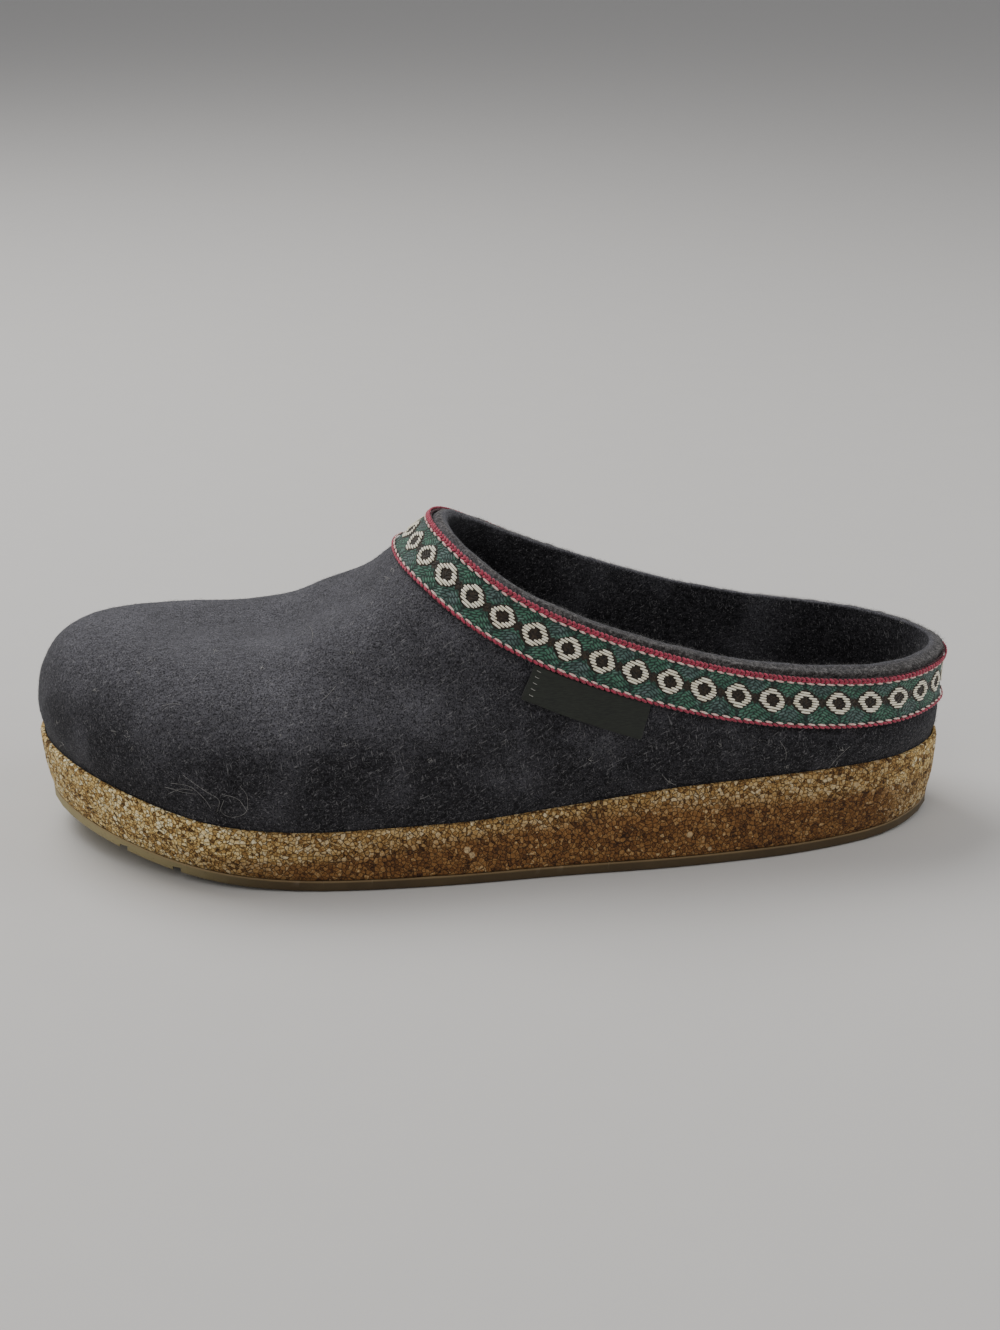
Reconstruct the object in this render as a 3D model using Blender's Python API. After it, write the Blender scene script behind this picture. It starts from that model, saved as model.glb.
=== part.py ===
"""Left clog slipper: a boiled wool felt upper on a cork midsole, with a thin rubber outsole.

The shoe is put together as a maker would do it. The rubber outsole carries the cork midsole, whose
raised rim takes the lower edge of the felt. A contoured insole lies inside the felt. A woven ribbon
runs round the collar just under the cut felt edge, and a bare cloth tag hangs below the ribbon.

Frame: +X towards the toe, +Y towards the outer (lateral) side, +Z up. The shoe stands on the floor
at z = 0, and the origin is the middle of its box, on the floor. Metres.
"""
import math

import bmesh
import bpy
import numpy as np

# Last and sole: driving dimensions
LENGTH = 0.265
BALL_WIDTH = 0.100
SEAT_HEIGHT = 0.0240
TOE_SPRING = 0.0100
TOE_SPRING_POWER = 1.8
HEEL_LIFT = 0.0016
HEEL_LIFT_POWER = 2.0
FLAT_FROM = 0.150
FLAT_TO = 0.700

# Rubber outsole and its tread. The grooves end inside the edge, but the last ones, nearest the toe,
# run out at the sides. The lower edge's rounding has a middle ring at this share of it.
OUTSOLE_THICKNESS = 0.0034
OUTSOLE_EDGE_ROUND = 0.0010
OUTSOLE_ROUND_MIDDLE = 0.3
TREAD_PITCH = 0.0150
TREAD_GROOVE_WIDTH = 0.0022
TREAD_GROOVE_DEPTH = 0.0016
FOREPART_GROOVES = 7
HEEL_GROOVES = 4
FOREPART_FIRST_GROOVE = 0.564
HEEL_FIRST_GROOVE = 0.075
TREAD_EDGE_WIDTH = 0.0035
OPEN_GROOVES = 2

# Cork midsole
CORK_RIM_WIDTH = 0.0014
CORK_RIM_ROUND = 0.0006
CORK_SIDE_SWELL = 0.0006
SEAT_DEPTH = 0.0070

# Felt upper and its collar. The cut edge stands up in its middle by a share of the thickness.
FELT_THICKNESS = 0.0042
CUT_EDGE_CROWN = 0.12
COLLAR_LENGTH = 0.1495
COLLAR_WIDTH = 0.0680
COLLAR_BACK_OVERHANG = -0.0008
COLLAR_SHIFT = -0.0010
HEEL_HEIGHT = 0.0530
INSTEP_HEIGHT = 0.0930

# Insole. Cup and arch have a middle and a reach as shares of LENGTH, and each rise grows towards
# the side by a power of the share across.
INSOLE_THICKNESS = 0.0034
HEEL_CUP_RISE = 0.0048
HEEL_CUP_MIDDLE = 0.10
HEEL_CUP_REACH = 0.20
HEEL_CUP_POWER = 2.6
ARCH_RISE = 0.0060
ARCH_MIDDLE = 0.43
ARCH_REACH = 0.15
ARCH_POWER = 1.6
SIDE_RISE = 0.0022
SIDE_POWER = 3.0

# Ribbon and tag
RIBBON_WIDTH = 0.0138
RIBBON_THICKNESS = 0.0008
RIBBON_BELOW_EDGE = 0.0029
TAG_LENGTH = 0.0345
TAG_HEIGHT = 0.0098
TAG_THICKNESS = 0.0007
TAG_START = 0.0943

# Clearance that neighbouring pieces keep, and how finely the shoe is divided
GAP = 0.0003
HALF_COLUMNS = 46
UPPER_ROWS = 12
RIBBON_ROWS = 3
INSOLE_ROWS = 8
TAG_COLUMNS = 8
TAG_ROWS = 3

# How finely smooth lines and the felt's face are read, and the ends of the side that a search for
# the tag's place leaves out
LINE_POINTS = 600
FACE_LEVELS = 121
FACE_COLUMNS = 240
FACE_STEP = 0.002
SIDE_ENDS = 0.05

# Plan of the sole edge. Columns: share of LENGTH from the heel, then the distance of the lateral and
# of the medial edge from the middle line, as shares of BALL_WIDTH.
SOLE_PLAN = (
    (0.025, 0.142, 0.176),
    (0.075, 0.258, 0.278),
    (0.160, 0.337, 0.336),
    (0.300, 0.383, 0.344),
    (0.440, 0.418, 0.358),
    (0.560, 0.464, 0.412),
    (0.670, 0.498, 0.465),
    (0.775, 0.505, 0.485),
    (0.865, 0.432, 0.445),
    (0.940, 0.275, 0.350),
    (0.985, 0.102, 0.222),
)
HEEL_POINT = 0.0
TOE_POINT = -0.050

# Height of the cork's upper edge. Columns: share of LENGTH, share of SEAT_HEIGHT.
CORK_EDGE = (
    (0.00, 1.02),
    (0.12, 1.055),
    (0.30, 0.98),
    (0.44, 0.83),
    (0.56, 0.74),
    (0.68, 0.74),
    (0.80, 0.83),
    (0.90, 1.04),
    (1.00, 1.23),
)

# How far the cork's lower edge lies inside its upper edge. Columns: share of LENGTH, then the
# lateral and the medial inset as shares of BALL_WIDTH; below zero it stands out.
CORK_DRAFT = (
    (0.00, 0.018, 0.018),
    (0.10, 0.017, 0.024),
    (0.22, -0.009, 0.018),
    (0.36, -0.030, 0.008),
    (0.50, -0.024, 0.002),
    (0.64, -0.006, 0.010),
    (0.78, 0.032, 0.026),
    (0.90, 0.048, 0.042),
    (1.00, 0.030, 0.030),
)

# Plan and height of the collar. Columns: share of COLLAR_LENGTH, half width as a share of
# COLLAR_WIDTH, and rise as a share of the way from HEEL_HEIGHT to INSTEP_HEIGHT.
COLLAR = (
    (0.050, 0.250, 0.010),
    (0.146, 0.408, 0.022),
    (0.298, 0.482, 0.065),
    (0.497, 0.500, 0.190),
    (0.695, 0.497, 0.415),
    (0.848, 0.450, 0.655),
    (0.947, 0.310, 0.870),
)

# How the felt climbs from the cork to the collar at four places round the shoe, a row for each
# level. Columns: run is the share of the way to the collar seen from above, rise the share of the
# height to the collar, and swell how far the felt stands out besides, as a share of its thickness.
CLIMB_AT_HEEL = (
    (0.00, 0.00, 0.00),
    (0.04, 0.10, 0.14),
    (0.12, 0.20, 0.22),
    (0.22, 0.30, 0.22),
    (0.33, 0.40, 0.14),
    (0.44, 0.50, 0.02),
    (0.55, 0.60, -0.06),
    (0.67, 0.70, -0.10),
    (0.78, 0.80, -0.10),
    (0.89, 0.90, -0.04),
    (1.00, 1.00, 0.00),
)
CLIMB_AT_WAIST = (
    (0.00, 0.00, 0.00),
    (0.02, 0.11, 0.26),
    (0.06, 0.22, 0.41),
    (0.12, 0.33, 0.47),
    (0.20, 0.44, 0.46),
    (0.30, 0.55, 0.40),
    (0.42, 0.65, 0.30),
    (0.55, 0.75, 0.19),
    (0.69, 0.84, 0.08),
    (0.84, 0.92, 0.00),
    (1.00, 1.00, 0.00),
)
CLIMB_AT_BALL = (
    (0.000, 0.000, 0.00),
    (0.006, 0.120, 0.32),
    (0.030, 0.230, 0.54),
    (0.085, 0.325, 0.57),
    (0.170, 0.400, 0.47),
    (0.285, 0.470, 0.32),
    (0.425, 0.548, 0.18),
    (0.580, 0.662, 0.07),
    (0.735, 0.782, 0.00),
    (0.875, 0.892, 0.00),
    (1.000, 1.000, 0.00),
)
CLIMB_AT_TOE = (
    (0.000, 0.000, 0.00),
    (0.002, 0.120, 0.42),
    (0.010, 0.250, 0.52),
    (0.040, 0.384, 0.42),
    (0.105, 0.480, 0.22),
    (0.225, 0.500, 0.02),
    (0.385, 0.464, 0.00),
    (0.550, 0.466, 0.00),
    (0.715, 0.566, 0.00),
    (0.865, 0.780, 0.00),
    (1.000, 1.000, 0.00),
)
# Where round each half of the shoe those four stand, heel back 0 to toe 1
CLIMB_STATIONS = (0.00, 0.36, 0.72, 1.00)
# The columns of the felt lean so that they share the short collar: start weight and power
COLLAR_EVEN_SHARE = 0.25
COLLAR_LEAN_POWER = 2.1

CORK_COLOUR = (0.36, 0.20, 0.075, 1.0)
RUBBER_COLOUR = (0.20, 0.145, 0.065, 1.0)
FELT_COLOUR = (0.016, 0.018, 0.028, 1.0)
INSOLE_COLOUR = (0.020, 0.021, 0.027, 1.0)
RIBBON_COLOUR = (0.022, 0.090, 0.068, 1.0)
TAG_COLOUR = (0.014, 0.018, 0.013, 1.0)
SHARP_FROM = math.radians(40)


def smooth_through(table, column, share):
    """Smooth curve through a table's first column and the given one, without overshoot."""
    x = np.array([row[0] for row in table], float)
    y = np.array([row[column] for row in table], float)
    share = np.clip(share, x[0], x[-1])
    slope = np.diff(y) / np.diff(x)
    tangent = np.zeros_like(y)
    same_way = slope[:-1] * slope[1:] > 0
    tangent[1:-1][same_way] = (2 * slope[:-1] * slope[1:] / (slope[:-1] + slope[1:] + 1e-12))[same_way]
    tangent[0] = slope[0]
    tangent[-1] = slope[-1]
    i = np.clip(np.searchsorted(x, share, side="right") - 1, 0, len(x) - 2)
    width = x[i + 1] - x[i]
    t = (share - x[i]) / width
    return ((1 + 2 * t) * (1 - t) ** 2 * y[i] + t * (1 - t) ** 2 * width * tangent[i]
            + t * t * (3 - 2 * t) * y[i + 1] + t * t * (t - 1) * width * tangent[i + 1])


def closed_spline(points):
    """Closed cubic curve through the points, with the place of each point along it."""
    knots = np.vstack([points, points[:1]])
    step = np.sqrt(np.linalg.norm(np.diff(knots, axis=0), axis=1))
    place = np.concatenate([[0.0], np.cumsum(step)])
    count = len(points)
    matrix = np.zeros((count, count))
    right = np.zeros((count, knots.shape[1]))
    for i in range(count):
        before = step[i - 1]
        after = step[i]
        matrix[i, (i - 1) % count] += before
        matrix[i, i] += 2 * (before + after)
        matrix[i, (i + 1) % count] += after
        rise_after = (knots[i + 1] - knots[i]) / after
        rise_before = (knots[i] - knots[(i - 1) % count]) / before
        right[i] = 6 * (rise_after - rise_before)
    bend = np.linalg.solve(matrix, right)
    bend = np.vstack([bend, bend[:1]])

    def at(where):
        i = np.clip(np.searchsorted(place, where, side="right") - 1, 0, count - 1)
        a = ((place[i + 1] - where) / step[i])[:, None]
        b = 1 - a
        h = step[i][:, None]
        curved = (a ** 3 - a) * bend[i] + (b ** 3 - b) * bend[i + 1]
        return a * knots[i] + b * knots[i + 1] + curved * h * h / 6

    return at, place


class Loop:
    """A smooth closed line round the shoe, from the heel's back by the lateral side to the toe."""

    def __init__(self, heel, lateral, toe, medial):
        points = np.array([heel, *lateral, toe, *medial[::-1]], float)
        at, place = closed_spline(points)
        toe_place = place[1 + len(lateral)]
        self.sides = []
        for start, end in ((0.0, toe_place), (place[-1], toe_place)):
            line = at(np.linspace(start, end, LINE_POINTS))
            step = np.linalg.norm(np.diff(line, axis=0), axis=1)
            share = np.concatenate([[0.0], np.cumsum(step)])
            self.sides.append((share / share[-1], line))

    def at(self, half, lateral):
        """Points at the given shares of each half, on the lateral side where lateral is True."""
        out = []
        for share, line in self.sides:
            out.append(np.stack([np.interp(half, share, line[:, k]) for k in range(line.shape[1])], -1))
        return np.where(lateral[:, None], out[0], out[1])

    def outward(self, half, lateral):
        """Level unit normals that point away from the shoe, at the same places."""
        out = []
        for side, (share, line) in zip((1.0, -1.0), self.sides):
            ahead = np.gradient(line[:, :2], axis=0)
            ahead /= np.linalg.norm(ahead, axis=1)[:, None]
            x = np.interp(half, share, -ahead[:, 1] * side)
            y = np.interp(half, share, ahead[:, 0] * side)
            out.append(np.stack([x, y], -1))
        return np.where(lateral[:, None], out[0], out[1])


def round_shoe(half_count):
    """Column places round the shoe: share along the half, and whether it is the lateral half."""
    up = np.arange(half_count + 1) / half_count
    half = np.concatenate([up, up[-2:0:-1]])
    lateral = np.arange(2 * half_count) <= half_count
    return half, lateral


SOLE_EDGE = Loop(
    (0.0, HEEL_POINT * BALL_WIDTH),
    [(a * LENGTH, lateral * BALL_WIDTH) for a, lateral, medial in SOLE_PLAN],
    (LENGTH, TOE_POINT * BALL_WIDTH),
    [(a * LENGTH, -medial * BALL_WIDTH) for a, lateral, medial in SOLE_PLAN],
)


def collar_row(side):
    """The collar's points on one side, from the heel forward."""
    rows = []
    for along, half_width, rise in COLLAR:
        rows.append((
            along * COLLAR_LENGTH - COLLAR_BACK_OVERHANG,
            side * half_width * COLLAR_WIDTH + COLLAR_SHIFT * along,
            HEEL_HEIGHT + rise * (INSTEP_HEIGHT - HEEL_HEIGHT),
        ))
    return rows


COLLAR_EDGE = Loop(
    (-COLLAR_BACK_OVERHANG, 0.0, HEEL_HEIGHT),
    collar_row(1),
    (COLLAR_LENGTH - COLLAR_BACK_OVERHANG, COLLAR_SHIFT, INSTEP_HEIGHT),
    collar_row(-1),
)


def cork_edge_height(x):
    """Height of the cork's upper edge above the floor."""
    return SEAT_HEIGHT * smooth_through(CORK_EDGE, 1, x / LENGTH)


def ground_height(x):
    """Underside of the outsole: flat under heel and ball, lifted at the toe and a little at the back."""
    share = np.asarray(x) / LENGTH
    toe = np.clip((share - FLAT_TO) / (1 - FLAT_TO), 0, None)
    back = np.clip((FLAT_FROM - share) / FLAT_FROM, 0, None)
    return TOE_SPRING * toe ** TOE_SPRING_POWER + HEEL_LIFT * back ** HEEL_LIFT_POWER


def draft(x, lateral):
    """How far the cork's lower edge lies inside its upper edge."""
    share = x / LENGTH
    inset = np.where(lateral, smooth_through(CORK_DRAFT, 1, share), smooth_through(CORK_DRAFT, 2, share))
    return BALL_WIDTH * inset


def climb(half, level):
    """Run, rise and swell at each column and level, blended between the four places round the shoe."""
    tables = np.array([CLIMB_AT_HEEL, CLIMB_AT_WAIST, CLIMB_AT_BALL, CLIMB_AT_TOE])
    rows = tables.shape[1]
    grid = np.arange(rows) / (rows - 1)
    fine = np.zeros((len(tables), len(level), 3))
    for k, table in enumerate(tables):
        for column in range(3):
            fine[k, :, column] = smooth_through(np.column_stack([grid, table[:, column]]), 1, level)
    stations = np.array(CLIMB_STATIONS)
    i = np.clip(np.searchsorted(stations, half, side="right") - 1, 0, len(stations) - 2)
    t = (half - stations[i]) / (stations[i + 1] - stations[i])
    t = (t * t * (3 - 2 * t))[:, None, None]
    return fine[i] * (1 - t) + fine[i + 1] * t


def felt_outside(half, lateral, level):
    """Outer face of the felt above the cork: an array of columns by levels of points."""
    edge = SOLE_EDGE.at(half, lateral)
    out = SOLE_EDGE.outward(half, lateral)
    foot = edge - out * (CORK_RIM_WIDTH + GAP)
    foot_height = cork_edge_height(edge[:, 0])
    even = COLLAR_EVEN_SHARE * half
    collar_half = (1 - COLLAR_EVEN_SHARE) * (1 - (1 - half) ** COLLAR_LEAN_POWER) + even
    top = COLLAR_EDGE.at(collar_half, lateral)
    shape = climb(half, level)
    run = shape[:, :, 0:1]
    plan = foot[:, None] + (top[:, None, :2] - foot[:, None]) * run
    plan = plan + out[:, None] * shape[:, :, 2:3] * FELT_THICKNESS
    height = foot_height[:, None] + (top[:, 2] - foot_height)[:, None] * shape[:, :, 1]
    return np.dstack([plan, height])


def grid_normals(grid):
    """Outward unit normals of a grid of points that closes round the shoe in its first direction."""
    around = np.roll(grid, -1, axis=0) - np.roll(grid, 1, axis=0)
    up = np.gradient(grid, axis=1)
    normal = np.cross(up, around)
    return normal / np.linalg.norm(normal, axis=2)[:, :, None]


def make_object(name, mesh, colour, roughness):
    """Put a mesh in the scene under its name, with its own plain material, shaded smooth."""
    material = bpy.data.materials.new(name)
    material.use_nodes = True
    surface = material.node_tree.nodes["Principled BSDF"]
    surface.inputs["Base Color"].default_value = colour
    surface.inputs["Roughness"].default_value = roughness
    surface.inputs["Metallic"].default_value = 0.0
    mesh.materials.append(material)
    mesh.shade_smooth()
    mesh.set_sharp_from_angle(angle=SHARP_FROM)
    thing = bpy.data.objects.new(name, mesh)
    bpy.context.scene.collection.objects.link(thing)
    return thing


def add_rings(bm, rings):
    """Add rings of points and join each to the next with quads; gives the rings of vertices."""
    made = [[bm.verts.new(point) for point in ring] for ring in rings]
    count = len(made[0])
    for low, high in zip(made, made[1:]):
        for k in range(count):
            n = (k + 1) % count
            bm.faces.new((low[k], low[n], high[n], high[k]))
    return made


def close_across(bm, ring, depth=None):
    """Close a ring with strips from the lateral to the medial side.

    depth, where given, is a function of x, y and the share across from -1 to 1 that gives the
    height of the points between the two edges.
    """
    count = len(ring)
    half = count // 2
    rows = [[ring[0]]]
    for k in range(1, half):
        a = ring[k]
        b = ring[count - k]
        row = [a]
        if depth is not None:
            for j in range(1, INSOLE_ROWS):
                t = j / INSOLE_ROWS
                across = 1 - 2 * t
                point = a.co.lerp(b.co, t)
                point.z = depth(point.x, across)
                row.append(bm.verts.new(point))
        row.append(b)
        rows.append(row)
    rows.append([ring[half]])
    for low, high in zip(rows, rows[1:]):
        if len(low) == 1:
            for j in range(len(high) - 1):
                bm.faces.new((low[0], high[j], high[j + 1]))
        elif len(high) == 1:
            for j in range(len(low) - 1):
                bm.faces.new((low[j + 1], low[j], high[0]))
        else:
            for j in range(len(low) - 1):
                bm.faces.new((low[j + 1], low[j], high[j], high[j + 1]))


def finish_mesh(bm, name):
    """Turn a closed bmesh into a mesh with its faces pointing out."""
    bmesh.ops.recalc_face_normals(bm, faces=bm.faces)
    mesh = bpy.data.meshes.new(name)
    bm.to_mesh(mesh)
    bm.free()
    return mesh


def level_ring(plan, height):
    """A ring of points from a plan line and its heights."""
    return np.column_stack([plan, height])


HALF, LATERAL = round_shoe(HALF_COLUMNS)
EDGE = SOLE_EDGE.at(HALF, LATERAL)
OUT = SOLE_EDGE.outward(HALF, LATERAL)
EDGE_HEIGHT = cork_edge_height(EDGE[:, 0])
LOW_EDGE = EDGE - OUT * draft(EDGE[:, 0], LATERAL)[:, None]
SEAT_FLOOR = EDGE_HEIGHT - SEAT_DEPTH


def sole_sides(x):
    """Where the sole's lower edge lies at a place along it: medial side, then lateral side."""
    sides = []
    for half in (~LATERAL, LATERAL):
        line = LOW_EDGE[half]
        line = line[np.argsort(line[:, 0])]
        sides.append(float(np.interp(x, line[:, 0], line[:, 1])))
    return sides


def add_groove_cutter(bm, x, runs_out):
    """A box across the sole from x on, which ends inside the sole's edge or runs out beyond it."""
    beyond = x + TREAD_GROOVE_WIDTH
    margin = -TREAD_EDGE_WIDTH if runs_out else TREAD_EDGE_WIDTH
    medial = max(sole_sides(x)[0], sole_sides(beyond)[0]) + margin
    lateral = min(sole_sides(x)[1], sole_sides(beyond)[1]) - margin
    middle = (x + beyond) / 2
    top = float(ground_height(middle)) + TREAD_GROOVE_DEPTH
    bottom = -OUTSOLE_THICKNESS
    cube = bmesh.ops.create_cube(bm, size=1.0)["verts"]
    bmesh.ops.scale(bm, vec=(TREAD_GROOVE_WIDTH, lateral - medial, top - bottom), verts=cube)
    bmesh.ops.translate(bm, vec=(middle, (lateral + medial) / 2, (top + bottom) / 2), verts=cube)


def build_outsole():
    """Thin rubber sole with a rounded lower edge and grooves across heel and forepart."""
    floor = ground_height(LOW_EDGE[:, 0])
    middle_round = OUTSOLE_EDGE_ROUND * OUTSOLE_ROUND_MIDDLE
    rings = (
        level_ring(LOW_EDGE - OUT * OUTSOLE_EDGE_ROUND, floor),
        level_ring(LOW_EDGE - OUT * middle_round, floor + middle_round),
        level_ring(LOW_EDGE, floor + OUTSOLE_EDGE_ROUND),
        level_ring(LOW_EDGE, floor + OUTSOLE_THICKNESS),
    )
    bm = bmesh.new()
    made = add_rings(bm, rings)
    close_across(bm, made[0])
    close_across(bm, made[-1])
    sole = make_object("outsole", finish_mesh(bm, "outsole"), RUBBER_COLOUR, 0.55)
    starts = [HEEL_FIRST_GROOVE * LENGTH + k * TREAD_PITCH for k in range(HEEL_GROOVES)]
    starts += [FOREPART_FIRST_GROOVE * LENGTH + k * TREAD_PITCH for k in range(FOREPART_GROOVES)]
    bm = bmesh.new()
    for k, x in enumerate(starts):
        add_groove_cutter(bm, x, runs_out=k >= len(starts) - OPEN_GROOVES)
    cutter = bpy.data.objects.new("tread_cutter", finish_mesh(bm, "tread_cutter"))
    bpy.context.scene.collection.objects.link(cutter)
    cutter.hide_render = True
    cutter.display_type = "WIRE"
    cut = sole.modifiers.new("tread", "BOOLEAN")
    cut.operation = "DIFFERENCE"
    cut.object = cutter
    return sole, cutter


def build_midsole():
    """Cork block: sides that lean in towards the floor, and a rim round the seat for the felt."""
    under = ground_height(LOW_EDGE[:, 0]) + OUTSOLE_THICKNESS + GAP
    mid_height = (under + EDGE_HEIGHT) / 2
    mid_plan = (LOW_EDGE + EDGE) / 2 + OUT * CORK_SIDE_SWELL
    rings = (
        level_ring(LOW_EDGE, under),
        level_ring(mid_plan, mid_height),
        level_ring(EDGE, EDGE_HEIGHT - CORK_RIM_ROUND),
        level_ring(EDGE - OUT * CORK_RIM_ROUND, EDGE_HEIGHT),
        level_ring(EDGE - OUT * CORK_RIM_WIDTH, EDGE_HEIGHT),
        level_ring(EDGE - OUT * CORK_RIM_WIDTH, SEAT_FLOOR),
    )
    bm = bmesh.new()
    made = add_rings(bm, rings)
    close_across(bm, made[0])
    close_across(bm, made[-1])
    return make_object("midsole", finish_mesh(bm, "midsole"), CORK_COLOUR, 0.85)


def build_insole():
    """Footbed inside the felt: a cup at the heel, a raised arch and a nearly flat forepart."""
    inset = CORK_RIM_WIDTH + FELT_THICKNESS + 2 * GAP
    plan = EDGE - OUT * inset
    base = SEAT_FLOOR + GAP

    def top(x, across):
        share = x / LENGTH
        floor = float(cork_edge_height(np.array([x]))[0]) - SEAT_DEPTH + GAP
        near_heel = math.exp(-((share - HEEL_CUP_MIDDLE) / HEEL_CUP_REACH) ** 2)
        near_arch = math.exp(-((share - ARCH_MIDDLE) / ARCH_REACH) ** 2)
        cup = HEEL_CUP_RISE * near_heel * abs(across) ** HEEL_CUP_POWER
        arch = ARCH_RISE * near_arch * max(-across, 0.0) ** ARCH_POWER
        side = SIDE_RISE * abs(across) ** SIDE_POWER
        return floor + INSOLE_THICKNESS + cup + arch + side

    sign = np.where(LATERAL, 1.0, -1.0)
    edge_height = [top(plan[k, 0], sign[k]) for k in range(len(plan))]
    edge_height[0] = top(plan[0, 0], 1.0)
    rings = (level_ring(plan, base), level_ring(plan, np.array(edge_height)))
    bm = bmesh.new()
    made = add_rings(bm, rings)
    close_across(bm, made[0])
    close_across(bm, made[-1], top)
    return make_object("insole", finish_mesh(bm, "insole"), INSOLE_COLOUR, 0.95)


def upper_grid():
    """Outer face of the felt with its lower edge in the cork's seat, as columns by rows."""
    level = np.arange(UPPER_ROWS + 1) / UPPER_ROWS
    exposed = felt_outside(HALF, LATERAL, level)
    tucked = exposed[:, :1].copy()
    tucked[:, 0, 2] = SEAT_FLOOR + GAP
    return np.concatenate([tucked, exposed], axis=1)


def build_upper():
    """Felt shell: one wall of even thickness, open at the collar and underneath."""
    outer = upper_grid()
    normal = grid_normals(outer)
    normal[:, :2, 2] = 0.0
    normal[:, :2] /= np.linalg.norm(normal[:, :2], axis=2)[:, :, None]
    inner = outer - normal * FELT_THICKNESS
    inner[:, 0, 2] = outer[:, 0, 2]
    inner[:, 1, 2] = outer[:, 1, 2]
    up = outer[:, -1] - outer[:, -2]
    up /= np.linalg.norm(up, axis=1)[:, None]
    crown = (outer[:, -1] + inner[:, -1]) / 2 + up * FELT_THICKNESS * CUT_EDGE_CROWN
    rows = outer.shape[1]
    rings = [outer[:, r] for r in range(rows)]
    rings.append(crown)
    rings += [inner[:, r] for r in range(rows - 1, -1, -1)]
    bm = bmesh.new()
    made = add_rings(bm, rings)
    count = len(made[0])
    for k in range(count):
        n = (k + 1) % count
        bm.faces.new((made[-1][k], made[-1][n], made[0][n], made[0][k]))
    return make_object("upper", finish_mesh(bm, "upper"), FELT_COLOUR, 0.95)


def on_felt(half, lateral, below):
    """Points and normals of the felt's outer face, each row at a distance from the collar edge.

    The felt's columns lean, so the distance is taken to the nearest point of the collar edge.
    """
    level = np.linspace(0.0, 1.0, FACE_LEVELS)
    grid = felt_outside(half, lateral, level)
    ahead = felt_outside(np.minimum(half + FACE_STEP, 1.0), lateral, level)
    behind = felt_outside(np.maximum(half - FACE_STEP, 0.0), lateral, level)
    facing_way = np.where(lateral, 1.0, -1.0)[:, None, None]
    normals = np.cross(np.gradient(grid, axis=1), (ahead - behind) * facing_way)
    normals /= np.linalg.norm(normals, axis=2)[:, :, None]
    share = np.linspace(0.0, 1.0, LINE_POINTS)
    edge = np.vstack([COLLAR_EDGE.at(share, np.full(len(share), side)) for side in (True, False)])
    points = np.zeros((len(half), len(below), 3))
    facing = np.zeros_like(points)
    for k in range(len(half)):
        line = grid[k, ::-1]
        depth = np.linalg.norm(line[:, None] - edge[None], axis=2).min(axis=1)
        depth[0] = 0.0
        depth = np.maximum.accumulate(depth)
        for axis in range(3):
            points[k, :, axis] = np.interp(below, depth, line[:, axis])
            facing[k, :, axis] = np.interp(below, depth, normals[k, ::-1, axis])
    facing /= np.linalg.norm(facing, axis=2)[:, :, None]
    return points, facing


def build_ribbon():
    """Woven ribbon sewn round the collar, a band that lies on the felt."""
    below = RIBBON_BELOW_EDGE + RIBBON_WIDTH * np.arange(RIBBON_ROWS + 1) / RIBBON_ROWS
    points, facing = on_felt(HALF, LATERAL, below)
    back = points + facing * GAP
    front = points + facing * (GAP + RIBBON_THICKNESS)
    rings = [back[:, r] for r in range(RIBBON_ROWS + 1)]
    rings += [front[:, r] for r in range(RIBBON_ROWS, -1, -1)]
    bm = bmesh.new()
    made = add_rings(bm, rings)
    count = len(made[0])
    for k in range(count):
        n = (k + 1) % count
        bm.faces.new((made[-1][k], made[-1][n], made[0][n], made[0][k]))
    return make_object("collar_ribbon", finish_mesh(bm, "collar_ribbon"), RIBBON_COLOUR, 0.8)


def build_tag():
    """Small bare cloth tag that hangs from the ribbon's lower edge on the outer side."""
    half = np.linspace(SIDE_ENDS, 1 - SIDE_ENDS, FACE_COLUMNS)
    lateral = np.ones(len(half), bool)
    start = RIBBON_BELOW_EDGE + RIBBON_WIDTH + GAP
    below = start + TAG_HEIGHT * np.arange(TAG_ROWS + 1) / TAG_ROWS
    points, facing = on_felt(half, lateral, below)
    top = points[:, 0]
    place = np.concatenate([[0.0], np.cumsum(np.linalg.norm(np.diff(top, axis=0), axis=1))])
    first = np.interp(TAG_START, top[:, 0], place)
    wanted = first + TAG_LENGTH * np.arange(TAG_COLUMNS + 1) / TAG_COLUMNS
    slope = np.gradient(top[:, 2], place)
    lean = np.interp(wanted, place, slope)
    along_x = np.interp(wanted, place, top[:, 0])
    bars = []
    for row, depth in enumerate(below - start):
        x = along_x + depth * lean
        at = np.stack([np.interp(x, points[:, row, 0], points[:, row, k]) for k in range(3)], -1)
        face = np.stack([np.interp(x, points[:, row, 0], facing[:, row, k]) for k in range(3)], -1)
        bars.append((at + face * GAP, at + face * (GAP + TAG_THICKNESS)))
    bm = bmesh.new()
    loop = []
    for k in range(TAG_COLUMNS + 1):
        outline = [back[k] for back, front in bars] + [front[k] for back, front in bars[::-1]]
        loop.append([bm.verts.new(point) for point in outline])
    count = len(loop[0])
    for low, high in zip(loop, loop[1:]):
        for j in range(count):
            n = (j + 1) % count
            bm.faces.new((low[j], low[n], high[n], high[j]))
    bm.faces.new(loop[0])
    bm.faces.new(loop[-1][::-1])
    return make_object("tag", finish_mesh(bm, "tag"), TAG_COLOUR, 0.6)


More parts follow.
